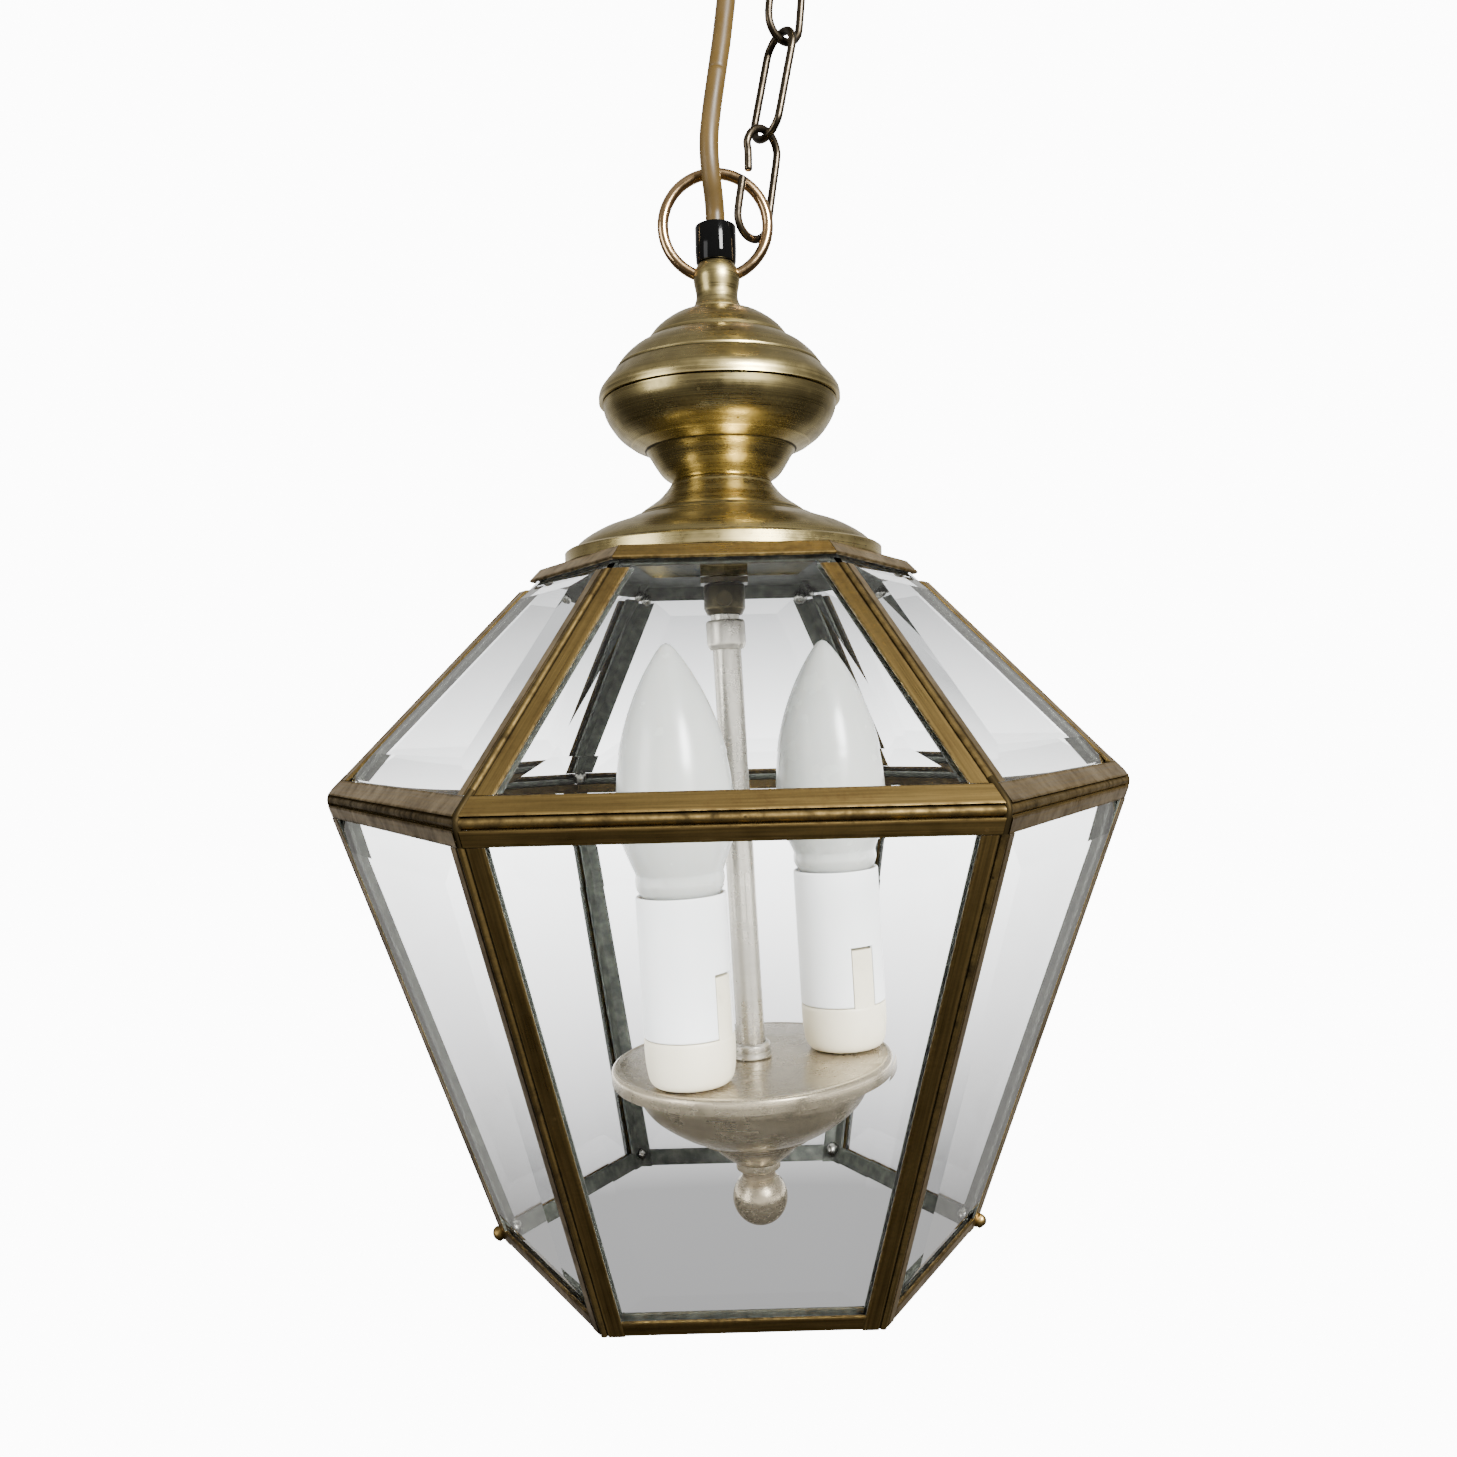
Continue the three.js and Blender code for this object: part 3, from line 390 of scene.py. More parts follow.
def wire(name, path, radius, place, look, body, replaced=(), closed=False, sides=20):
    mesh = Mesh()
    swept(mesh, path, radius, closed, sides)
    mesh.piece(name, place, look, body, replaced, 60)


def prism(mesh, lower, upper, tone, across, along, hidden=None):
    """Adds a solid between two outlines with the same number of points."""
    count = len(lower)
    faces = [list(range(count)), [2 * count - 1 - i for i in range(count)]]
    for i in range(count):
        j = (i + 1) % count
        faces.append([i, j, count + j, count + i])
    hidden = (hidden or [0.0] * count) * 2
    mesh.solid([*lower, *upper], faces, tone * 2, across * 2, along, hidden)


def walled(mesh, place_at, us, vs, kept, wrap):
    """Adds a sheet with two sides, place_at(u, v, side), over the grid cells that are kept."""
    wide = len(us)
    index, points, across, along = {}, [], [], []

    def corner(i, j, side):
        key = (i % wide, j, side)
        if key not in index:
            index[key] = len(points)
            points.append(place_at(us[key[0]], vs[j], side))
            across.append(us[key[0]] * MM)
            along.append(vs[j] * MM)
        return index[key]

    columns = wide if wrap else wide - 1

    def there(i, j):
        if wrap:
            i %= wide
        if not (0 <= i < columns and 0 <= j < len(vs) - 1):
            return False
        step = us[(i + 1) % wide] - us[i]
        return kept(us[i] + (step if step > 0 else 0) / 2, (vs[j] + vs[j + 1]) / 2)

    faces = []
    for i in range(columns):
        for j in range(len(vs) - 1):
            if not there(i, j):
                continue
            for side, order in ((0, 1), (1, -1)):
                face = [(i, j), (i + 1, j), (i + 1, j + 1), (i, j + 1)][::order]
                faces.append([corner(a, b, side) for a, b in face])
            edges = [
                ((i, j), (i + 1, j), there(i, j - 1)),
                ((i + 1, j), (i + 1, j + 1), there(i + 1, j)),
                ((i + 1, j + 1), (i, j + 1), there(i, j + 1)),
                ((i, j + 1), (i, j), there(i - 1, j)),
            ]
            for a, b, joined in edges:
                if not joined:
                    faces.append([corner(*b, 0), corner(*a, 0), corner(*a, 1), corner(*b, 1)])
    mesh.solid(points, faces, [0.0] * len(points), across, along)


# ---- Materials ----


class Wiring:
    """A node tree being wired up."""

    def __init__(self, tree):
        self.tree = tree
        tree.nodes.clear()

    def node(self, kind, inputs=None, **settings):
        made = self.tree.nodes.new("ShaderNode" + kind)
        for key, value in settings.items():
            setattr(made, key, value)
        for key, value in (inputs or {}).items():
            self.put(made.inputs[key], value)
        return made

    def put(self, socket, value):
        if isinstance(value, bpy.types.NodeSocket):
            self.tree.links.new(value, socket)
        else:
            socket.default_value = value

    def math(self, kind, a, b=0.0, clamp=False):
        return self.node("Math", {0: a, 1: b}, operation=kind, use_clamp=clamp).outputs[0]

    def times(self, a, b):
        return self.math("MULTIPLY", a, b)

    def span(self, value, low, high, to_low=0.0, to_high=1.0):
        inputs = {0: value, 1: low, 2: high, 3: to_low, 4: to_high}
        return self.node("MapRange", inputs).outputs[0]

    def vector(self, x, y, z):
        return self.node("CombineXYZ", {0: x, 1: y, 2: z}).outputs[0]

    def mix(self, share, a, b):
        inputs = {"Factor": share, 6: self.colour(a), 7: self.colour(b)}
        return self.node("Mix", inputs, data_type="RGBA").outputs[2]

    def colour(self, value):
        return value if isinstance(value, bpy.types.NodeSocket) else (*value, 1)


class Look(Wiring):
    """A material being wired up, with its slot in the record."""

    def __init__(self, name, slot=None):
        self.material = bpy.data.materials.new(name)
        self.material.use_nodes = True
        if slot:
            self.material["slot"] = slot
        super().__init__(self.material.node_tree)
        self.place = self.node("TexCoord").outputs["Object"]
        self.out = self.node("OutputMaterial")

    def number(self, name):
        return self.node("Attribute", attribute_name=name).outputs["Fac"]

    def noise(self, scale, detail=3.0, roughness=0.5, place=None):
        wanted = {"Vector": place or self.place, "Scale": scale, "Detail": detail}
        wanted["Roughness"] = roughness
        return self.node("TexNoise", wanted).outputs["Fac"]

    def bump(self, height, strength, distance_mm, under=None):
        inputs = {"Height": height, "Strength": strength, "Distance": distance_mm * MM}
        if under is not None:
            inputs["Normal"] = under
        return self.node("Bump", inputs).outputs["Normal"]

    def surface(self, colour, **inputs):
        wanted = {"Base Color": self.colour(colour)}
        wanted.update({key.replace("_", " "): value for key, value in inputs.items()})
        return self.node("BsdfPrincipled", wanted).outputs[0]

    def done(self, shader):
        self.put(self.out.inputs["Surface"], shader)
        return self.material


def metal(name, slot, bright, dull, dirt_and_shade, rough, brush=1.0, cloud=45, pits=0.0, lines="around",
          wear=0.7, metallic=1.0, streaky=1.0):
    """Aged metal: cloudy tarnish, fine brush lines, dirt and painted shade in the grooves and
    steps, and wear on the edges.
    """
    look = Look(name, slot)
    tone, across = look.number("tone"), look.number("across")
    x, y, z = [look.node("SeparateXYZ", {0: look.place}).outputs[i] for i in range(3)]
    clouds = look.noise(cloud, 6.0, 0.62)
    patches = look.noise(cloud * 4.7, 5.0, 0.6)
    if lines == "around":
        fine = look.vector(look.times(across, 2600), look.times(x, 22), y)
        wide = look.vector(look.times(across, 500), look.times(x, 30), y)
    else:
        far = look.times(look.number("along"), 26)
        fine = look.vector(look.times(across, 2200), far, z)
        wide = look.vector(look.times(across, 620), far, z)
    streaks = look.noise(1.0, 4.0, 0.65, fine)
    bands = look.noise(1.0, 3.0, 0.6, wide)
    tarnish = look.span(look.math("ADD", look.times(clouds, 0.6),
                                  look.times(patches, 0.4)), 0.36, 0.64)
    colour = look.mix(tarnish, bright, dull)
    shade = look.span(streaks, 0.3, 0.7, 1 - 0.16 * streaky, 1 + 0.08 * streaky)
    band = look.span(bands, 0.3, 0.7, 1 - 0.14 * streaky, 1 + 0.1 * streaky)
    shade = look.times(shade, band)
    colour = look.node("Mix", {"Factor": 1.0, 6: colour, 7: look.vector(shade, shade, shade)},
                       data_type="RGBA", blend_type="MULTIPLY").outputs[2]
    # Painted shade and dirt: strongest where the tone is negative (grooves, steps and parts given a
    # negative tone), where the colour is mixed towards the dark dirt-and-shade colour.
    groove = look.span(look.math("ADD", look.times(tone, -1),
                                 look.times(look.math("SUBTRACT", patches, 0.5), 0.8)),
                       0.12, 0.75)
    edge = look.span(look.math("ADD", tone, look.math("SUBTRACT", patches, 0.6)), 0.15, 0.8)
    worn = tuple(min(1, c * 1.35) for c in bright)
    colour = look.mix(look.times(edge, wear), colour, worn)
    colour = look.mix(look.times(groove, 0.9), colour, dirt_and_shade)
    roughness = look.math("ADD", look.span(tarnish, 0, 1, rough - 0.05, rough + 0.12),
                          look.span(streaks, 0.3, 0.7, -0.05 * streaky, 0.07 * streaky))
    roughness = look.math("ADD", roughness, look.times(groove, 0.3), clamp=True)
    inside = look.mix(look.span(patches, 0.4, 0.7), (0.014, 0.016, 0.012), (0.045, 0.05, 0.038))
    hidden = look.number("hidden")
    colour = look.mix(hidden, colour, inside)
    roughness = look.node("Mix", {0: hidden, 2: roughness, 3: 0.7}).outputs[0]
    solid = look.span(hidden, 0, 1, metallic, 0.25)
    if pits:
        specks = look.node("TexVoronoi", {"Vector": look.place, "Scale": 190.0}).outputs["Distance"]
        here = look.span(look.noise(60, 2.0), 0.5, 0.62)
        spot = look.times(look.span(specks, 0.1, 0.04), here)
        colour = look.mix(look.times(spot, pits), colour, dirt_and_shade)
        roughness = look.math("ADD", roughness, look.times(spot, 0.3), clamp=True)
    normal = look.bump(streaks, 0.2 * brush, 0.02)
    normal = look.bump(look.noise(900, 3.0), 0.1 * brush, 0.03, normal)
    normal = look.bump(look.noise(70, 3.0), 0.1 * brush, 0.2, normal)
    return look.done(look.surface(colour, Metallic=solid, Roughness=roughness, Normal=normal))


def glass(name, bend, top_z, foot_z, top_tint, foot_tint):
    """Clear glass that lets light through to what it shuts in, a little greyer to one end."""
    look = Look(name, "clear_glass")
    z = look.node("SeparateXYZ", {0: look.place}).outputs[2]
    share = look.span(z, foot_z, top_z)
    tint = look.mix(share, foot_tint, top_tint)
    film = look.noise(35, 5.0, 0.6)
    tint = look.mix(look.span(film, 0.45, 0.75, 0.0, 0.08), tint, (0.8, 0.8, 0.76))
    normal = look.bump(look.noise(9, 2.0), 0.12, 0.5)
    clear = {"Color": tint, "Roughness": 0.0, "IOR": bend, "Normal": normal}
    clear = look.node("BsdfRefraction", clear)
    shine = look.node("BsdfGlossy", {"Color": (1, 1, 1, 1), "Roughness": 0.02, "Normal": normal})
    edge = look.node("Fresnel", {"IOR": 1.5, "Normal": normal}).outputs[0]
    front = look.math("SUBTRACT", 1.0, look.node("NewGeometry").outputs["Backfacing"])
    edge = look.times(edge, front)
    body = look.node("MixShader", {0: edge, 1: clear.outputs[0], 2: shine.outputs[0]}).outputs[0]
    through = look.node("BsdfTransparent", {"Color": tint}).outputs[0]
    shadow = look.node("LightPath").outputs["Is Shadow Ray"]
    return look.done(look.node("MixShader", {0: shadow, 1: body, 2: through}).outputs[0])


def plastic(name, slot, colour, rough, spread=0.06, coat=0.0, translucent=0.0, grime=0.0,
            specular=0.5):
    """Moulded plastic with a faint orange peel, uneven gloss and some dust."""
    look = Look(name, slot)
    clouds = look.noise(55, 5.0, 0.6)
    darker = tuple(c * (1 - 2.2 * spread) for c in colour)
    tint = look.mix(look.span(clouds, 0.35, 0.7), colour, darker)
    if grime:
        dust = look.span(look.noise(160, 6.0, 0.7), 0.56, 0.75)
        tint = look.mix(look.times(dust, grime), tint, (0.3, 0.24, 0.16))
    roughness = look.span(look.noise(120, 4.0), 0.3, 0.7, rough - 0.06, rough + 0.08)
    normal = look.bump(look.noise(1400, 2.0), 0.1, 0.04)
    normal = look.bump(look.noise(130, 3.0), 0.12, 0.2, normal)
    wanted = {"Roughness": roughness, "Normal": normal, "Coat_Weight": coat}
    wanted["Coat_Roughness"] = 0.08
    wanted["Specular_IOR_Level"] = specular
    if translucent:
        wanted["Subsurface_Weight"] = translucent
        wanted["Subsurface_Radius"] = (0.006, 0.005, 0.004)
        wanted["Subsurface_Scale"] = 1.0
    return look.done(look.surface(tint, **wanted))


AGED_BRASS = metal("aged_brass", "aged_brass", (0.54, 0.44, 0.2), (0.25, 0.2, 0.085),
                   (0.02, 0.015, 0.006), 0.25, brush=0.6, pits=0.8)
CAME_BRASS = metal("came_brass", "came_brass", (0.41, 0.28, 0.095), (0.155, 0.1, 0.034),
                   (0.01, 0.008, 0.005), 0.32, cloud=60, pits=0.7, lines="along", wear=0.25)
RING_BRASS = metal("ring_brass", "polished_brass", (0.8, 0.55, 0.3), (0.4, 0.25, 0.12),
                   (0.05, 0.03, 0.02), 0.16, brush=0.5, cloud=120, lines="along")
CHAIN_METAL = metal("chain_metal", "chain_metal", (0.12, 0.095, 0.062), (0.03, 0.024, 0.017),
                    (0.01, 0.01, 0.008), 0.3, brush=0.6, cloud=260, lines="along")
DARK_BRONZE = metal("dark_bronze", "dark_bronze", (0.06, 0.05, 0.027), (0.035, 0.03, 0.018),
                    (0.01, 0.01, 0.01), 0.36)
SATIN_NICKEL = metal("satin_nickel", "satin_nickel", (0.46, 0.43, 0.37), (0.41, 0.385, 0.33),
                     (0.32, 0.3, 0.25), 0.25, brush=0.05, metallic=0.8, streaky=0.2)
PAN_BRASS = metal("pan_brass", "aged_brass", (0.36, 0.31, 0.22), (0.3, 0.255, 0.18),
                  (0.22, 0.185, 0.13), 0.22, brush=0.25, metallic=0.85, streaky=0.5)
PLAIN_STEEL = metal("plain_steel", "plain_steel", (0.6, 0.6, 0.58), (0.4, 0.4, 0.38),
                    (0.05, 0.05, 0.05), 0.38)
SOLDER = metal("solder", "came_brass", (0.5, 0.49, 0.44), (0.09, 0.095, 0.085),
               (0.02, 0.02, 0.02), 0.26, brush=0.2, cloud=300)
BLACK = plastic("black_plastic", "black_plastic", (0.0015, 0.0015, 0.0015), 0.08, specular=0.12)
WHITE = plastic("white_sleeve", "white_plastic", (0.86, 0.86, 0.84), 0.38, 0.02, translucent=0.2)
CREAM = plastic("cream_holder", "cream_plastic", (0.72, 0.66, 0.5), 0.42, 0.05, grime=0.25)
OPAL = plastic("opal_glass", "opal_glass", (0.36, 0.365, 0.34), 0.22, 0.02, coat=0.5,
               translucent=0.5)
FLEX = plastic("flex_sheath", "flex_sheath", (0.05, 0.029, 0.005), 0.42, 0.1, grime=0.04,
              specular=0.3)
# Gentler than real glass, whose bevels would show mostly black.
ROOF_GLASS = glass("roof_glass", 1.05, height("roof_glass_5", 1) * MM + ORIGIN.z, ORIGIN.z,
                   (0.9, 0.905, 0.91), (0.98, 0.985, 0.985))
BODY_GLASS = glass("body_glass", 1.03, ORIGIN.z, height("body_glass_5", 0) * MM + ORIGIN.z,
                   (0.98, 0.985, 0.985), (0.88, 0.88, 0.885))

# ---- Supply flex, in two lengths that meet beside the chain ----
FLEX_JOIN = (1.72, -4.08, 46.75)
FLEX_LOWER = [
    (0, 0, 0.1), (0, -0.2, 4.6), (-0.3, -1.9, 8.6), (-0.8, -4.2, 12.6), (-1.2, -5.5, 17.1),
    (-1.4, -5.9, 21.6), (-1.2, -5.9, 26.6), (-0.6, -5.6, 31.6), (0.1, -5.2, 36.6),
    (0.9, -4.7, 41.6), FLEX_JOIN,
]
FLEX_UPPER = [
    FLEX_JOIN, (2.5, -3.5, 51.6), (3.3, -2.9, 56.6), (4.1, -2.2, 62.6), (4.9, -1.6, 68.6),
    (5.6, -1, 74.6), (6.2, -0.6, 80.6), (6.7, -0.3, 86.6), (7, -0.1, 93.6), (7.1, 0, 100.6),
    (7.1, 0, 107.6), (7.1, 0, 114.6), (7.1, 0, 122.6),
]


def flex(name, route, replaced):
    """A curved length of flex between two bodies, from its lower end to its upper one."""
    path = smooth([(x, y, GRIP_TOP + up) for x, y, up in route], 1.2)
    mesh = Mesh()
    swept(mesh, path, FLEX_R, sides=24, blunt=0.05)
    made = mesh.piece(name, LANTERN, FLEX, None, (), 60)
    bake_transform(made)
    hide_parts(replaced)


flex("flex_low", FLEX_LOWER, "flex_lower")
flex("flex_high", FLEX_UPPER, "flex_upper")

# ---- Ceiling rose and hook ----


def dressed(node, look, bevel=0.0):
    """A CAD node shown as it is, with its own material and, if wanted, softened edges."""
    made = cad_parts[node]
    made.data.materials.clear()
    made.data.materials.append(look)
    if bevel:
        soft = made.modifiers.new("soft_edges", "BEVEL")
        soft.width = bevel * MM
        soft.segments = 2
        soft.limit_method = "ANGLE"
        soft.angle_limit = radians(40)


def ceiling_rose():
    outer = [
        (3.2, ROSE_FOOT), (30, ROSE_FOOT),
        *smooth([(31.5, -25.6), (35, -23), (38, -16), (44, -9), (48, -6)]),
        *smooth([(48, -6), (49.6, -5.2), (50, -4.4), (50, 0)], 0.6),
    ]
    inner = [(48.8, 0), (48.8, -4.6), (43, -7.6), (37, -14.6), (33.8, -22), (29.5, -24.8),
             (3.2, -24.8)]
    lathe("ceiling_rose_spun", [*outer, *inner], ROOM, AGED_BRASS, "ceiling", "ceiling_rose", 128)


ceiling_rose()
dressed("ceiling_plate", PLAIN_STEEL)


def hook():
    loop_z = HOOK_LOOP_R - HOOK_DROP
    turn = radians(HOOK_TURN)
    path = [Vector((0, 0, -1.3)), Vector((0, 0, -14)), Vector((0, 0, loop_z + 12))]
    for k in range(29):
        a = radians(90 - 10 * k)
        r = HOOK_LOOP_R * cos(a)
        path.append(Vector((r * cos(turn), r * sin(turn), loop_z + HOOK_LOOP_R * sin(a))))
    wire("ceiling_hook_wire", smooth(path, 1.2), HOOK_WIRE_R, ROOM, AGED_BRASS, "ceiling",
         "ceiling_hook")


hook()


def bush():
    foot = ROSE_FOOT - GAP
    profile = rounded(
        [(6.6, foot - 1.6), (8.8, foot - 1.6), (9.4, foot - 1), (9.4, foot), (7.8, foot),
         (7.8, foot + 4), (6.6, foot + 4)], 0.4)
    lathe("cord_bush_moulded", profile, ROOM @ Matrix.Translation((BUSH_X, 0, 0)), BLACK, "ceiling",
          "cord_bush", 64)


bush()

# ---- Chain ----
# Each link: its letter, its lean and turn in degrees, and where its open side starts and ends.
LINKS = [("c", (6, 40), None), ("b", (12, -55), None), ("a", (9, 42), (0.5, 0.68))]


def link_axes(link):
    """The directions along a link and across it, from its lean and its turn."""
    lean, turn = map(radians, link)
    along = Vector((sin(lean), 0, cos(lean)))
    across = Vector((cos(turn), sin(turn), 0))
    across -= along * across.dot(along)
    return along, across.normalized()


def link_path(foot, link, mouth=None):
    """An oval link's centreline, from the left leg round the foot; open where it has a mouth."""
    along, across = link_axes(link)
    straight = LINK_PITCH - 2 * LINK_HALF_WIDTH

    def at(side, up, out=0.0):
        return foot + across * side + along * up + along.cross(across) * out

    def bend(turn, base):
        return at(LINK_HALF_WIDTH * sin(turn), base - LINK_HALF_WIDTH * cos(turn))

    foot_bend = [bend(i / 8 * pi, LINK_HALF_WIDTH) for i in range(-4, 5)]
    head_bend = [bend(i / 8 * pi, LINK_HALF_WIDTH + straight) for i in range(4, 13)]
    left = [at(-LINK_HALF_WIDTH, LINK_HALF_WIDTH + straight * s) for s in (0.25, 0.5, 0.75)]
    right = at(LINK_HALF_WIDTH, LINK_HALF_WIDTH + straight / 2)
    if mouth is None:
        ring = [*foot_bend, right, *head_bend, left[2], left[1], left[0], foot_bend[0]]
        return smooth(ring, 0.8)[:-1]
    low, high = mouth
    start = [at(-LINK_HALF_WIDTH + 0.3, LINK_HALF_WIDTH + straight * low, 0.2), left[0]]
    end = [
        at(-LINK_HALF_WIDTH + 0.9, LINK_HALF_WIDTH + straight * (high + 1) / 2 + 1),
        at(-LINK_HALF_WIDTH + 1.6, LINK_HALF_WIDTH + straight * high - 1.6, -0.6),
    ]
    return smooth([*start, *foot_bend, right, *head_bend, *end], 0.8)


def chain():
    reach = 2 * LINK_WIRE_R + GAP
    top = Vector((0, 0, -HOOK_DROP + HOOK_WIRE_R + LINK_WIRE_R + GAP))
    for letter, link, mouth in LINKS:
        along = link_axes(link)[0]
        foot = top - along * LINK_PITCH
        body = "link_" + letter
        wire("chain_wire_" + letter, link_path(foot, link, mouth), LINK_WIRE_R, ROOM, CHAIN_METAL,
             body, "chain_" + body, closed=mouth is None, sides=18)
        top = foot + along * reach


chain()

# ---- Ring, neck and cord grip ----


def ring():
    end = math.asin(PIN_IN / RING_R)
    path = []
    for i in range(97):
        a = end + i / 96 * (2 * pi - 2 * end)
        path.append((RING_R * sin(a), 0, RING_Z - RING_R * cos(a)))
    wire("ring_wire", path, RING_WIRE_R, LANTERN, RING_BRASS, "ring", "suspension_ring", sides=28)


ring()


def neck():
    """The turned neck that the ring's ends go into."""
    foot, top = NECK_FOOT, NECK_TOP
    outer = [
        *smooth([(8.2, foot), (8.1, foot + 0.5), (7.4, foot + 1.6)], 0.5),
        *smooth([(6.95, foot + 2.6), (6.5, foot + 4.6), (6.75, foot + 6.8), (7.15, foot + 8.8),
                 (7.25, foot + 10.6), (6.9, foot + 12.6), (6.1, foot + 14.2), (5.7, top)], 0.6),
    ]
    inner = [(3.3, top), (3.3, foot + 5), (5.2, foot + 5), (5.2, foot)]
    lathe("neck_turned", [*outer, *inner], LANTERN, AGED_BRASS, "lantern", "loop_neck")


neck()


def grip():
    foot, top = GRIP_FOOT, GRIP_TOP
    profile = rounded([(FLEX_R + GAP, foot), (6.3, foot), (6.45, foot + 4), (6.45, top),
                       (FLEX_R + 0.9, top), (FLEX_R + GAP, top - 0.8)], 0.45)
    lathe("cord_grip_moulded", profile, LANTERN, BLACK, "lantern", "cord_grip", 72)


grip()

# ---- Spun canopy ----


def canopy(node, base, sign, *strokes):
    """A spun shell; each stroke holds radii and distances from the base, starting at the hole."""
    outer = []
    for stroke in strokes:
        points = [Vector((r, base + sign * h)) for r, h in stroke]
        outer += smooth(points, 0.7) if len(points) > 2 else points
    lathe(f"{node}_spun", shell(outer), LANTERN, AGED_BRASS, "lantern", node, 144, sharp=28)


canopy("canopy_cap", CAP_TOP, -1,
       [(TUBE_HOLE_R, 0), (9.4, 0)],
       [(9.8, 0.1), (14.5, 1.9), (19.3, 5.4), (22.2, 8.9)],
       [(22.5, 9.9), (23.6, 10.3)],
       [(24.2, 10.6), (27.3, 12.6), (30.2, 15.3), (32.6, 18.4)],
       [(32.7, 19.1), (34.6, 21.2), (36.7, 23.8), (37.6, 25.4), (CAP_R, 26.8)],
       [(CAP_R, 27.2), (CAP_R, CAP_TOP - CAP_FOOT)])
# The bowl's foot reaches down over the gap to the crown.
canopy("canopy_bowl", BOWL_FOOT - GAP, 1,
       [(TUBE_HOLE_R, 0), (WAIST_R - 0.6, 0)],
       [(WAIST_R, 0.4), (18.2, 2), (20.2, 4.6), (22.1, 7.8), (23.1, 9.2)],
       [(23.6, 9.9), (25, 10.4), (27.7, 11.6)],
       [(27.9, 11.7), (31.7, 14.6), (34.5, 18.2), (36.1, 21.4), (BOWL_R, 24.6)])
canopy("canopy_crown", CROWN_TOP, -1,
       [(TUBE_HOLE_R, 0), (WAIST_R - 0.4, 0)],
       [(WAIST_R, 0.3), (16.8, 2), (20, 5.6), (25.6, 9.6)],
       [(26, 10.2), (27, 10.9), (28.6, 11.3)],
       [(29, 11.7), (33.3, 13.3), (38, 15), (42.4, 17.4), (45.4, 19.6), (46.9, 21.5)],
       [(47.4, 21.7), (48.9, 21.8)],
       [(CROWN_R, 22.3), (CROWN_R, CROWN_TOP - CROWN_FOOT)])
dressed("threaded_tube", DARK_BRONZE)
dressed("lock_nut", DARK_BRONZE, 0.3)

# ---- Hexagonal frame of cames ----
# A came has two leaves of thickness SKIN with the glass's SLOT between them, as far as its core.
SKIN = 1.0
SLOT = 2.2
FULL = 2 * SKIN + SLOT
CORNER_LEAF, CORNER_CORE = 6, 2.6
EAVES_LEAF, EAVES_CORE = 6, 4.2
CURB_LEAF, CURB_CORE = 4.9, 3.3
BODY_LEAF, BODY_CORE = 4.3, 2.3
PLATE_H = 2
GIRDLE_WIRE_R, GIRDLE_WIRE_IN = 1.3, 1.7
BEAD_R = 0.95
GROOVE_HALF = 1.65
MITRE = 1.2
# Tones for painted shade, with some dirt, that darkens the came edges and beads and dulls their
# highlights, as the Materials section reads them.
EDGE_SHADE, BEAD_SHADE, CORNER_BEAD_SHADE = -0.45, -0.55, -0.9
SIDE_SHIFT = 0.37


def face_line(low_r, low_z, high_r, high_z):
    """The middle line of a sloping face: its ends and the direction up it."""
    low, high = Vector((low_r * COS30, low_z)), Vector((high_r * COS30, high_z))
    return low, high, (high - low).normalized()


def came(mesh, name, replaced=(), place=LANTERN):
    mesh.piece(name, place, CAME_BRASS, "lantern", replaced)


def rail_sides(mesh, edge, along, leaf, core, close_z, short=0.12, square=False):
    """Six lengths of came, mitred or cut square to end a little short of the corners."""
    inward = Vector((-abs(along.y), along.x if along.y > 0 else -along.x))
    if abs(along.dot(inward)) > 1e-6:
        inward.y = -inward.y

    def at(s, n):
        return edge + along * s + inward * n

    close_s = (close_z - edge.y - FULL * inward.y) / along.y
    outline = [at(0, 0), at(leaf, 0), at(leaf, SKIN), at(core, SKIN), at(core, SKIN + SLOT),
               at(leaf, SKIN + SLOT), at(leaf, FULL), at(close_s, FULL)]
    outline = dense(rounded(outline, 0.35))
    # Painted shade, with some dirt: the sharp outer edges are darkened in place of their highlight.
    tone = [t * EDGE_SHADE if t > 0 else t for t in tones(outline)]
    across = [s * MM for s in run_lengths(outline)]
    hidden = [1.0 if (p - edge).dot(inward) > SKIN + SLOT / 2 else 0.0 for p in outline]
    for k in range(6):
        turn = Matrix.Rotation(radians(30 + 60 * k), 3, "Z")
        ends = []
        for side in (-1, 1):
            end = []
            for p in outline:
                reach = p.x - inward.x * (p - edge).dot(inward) if square else p.x
                end.append(turn @ Vector((p.x, side * (reach * TAN30 - short), p.y)))
            ends.append(end)
        half = edge.x * TAN30 * MM
        along_side = [k * SIDE_SHIFT + end for end in (-half, half) for p in outline]
        prism(mesh, *ends, tone, across, along_side, hidden)


def curb_plate(mesh):
    """Adds the plate inside the curb, dull like everything that faces inwards."""
    count = len(mesh.points)
    hole, edge, foot = TUBE_HOLE_R / COS30, ROOF_TOP_R - 1, ROOF_H - PLATE_H
    outline = [Vector(p) for p in ((hole, foot), (edge, foot), (edge, ROOF_H), (hole, ROOF_H))]
    turned(mesh, dense(outline), 6)
    mesh.data["hidden"][count:] = [1.0] * (len(mesh.points) - count)


def rails():
    def one(name, node, *sizes, plate=False):
        mesh = Mesh()
        rail_sides(mesh, *sizes)
        if plate:
            curb_plate(mesh)
        came(mesh, name, node)

    low, high, up = face_line(GIRDLE_R, GROOVE, ROOF_TOP_R, ROOF_H)
    one("eaves_rails", "roof_eaves_came", low, up, EAVES_LEAF, EAVES_CORE, GROOVE, MITRE)
    one("curb_rails", "roof_top_plate", high, -up, CURB_LEAF, CURB_CORE, ROOF_H, plate=True)
    low, high, up = face_line(BODY_FOOT_R, -BODY_H, GIRDLE_R, -GROOVE)
    one("body_head_rails", "body_top_came", high, -up, BODY_LEAF, BODY_CORE, -GROOVE, MITRE)
    one("body_foot_rails", "body_bottom_came", low, up, BODY_LEAF, BODY_CORE, -BODY_H,
        CORNER_LEAF + 0.1, True)


rails()


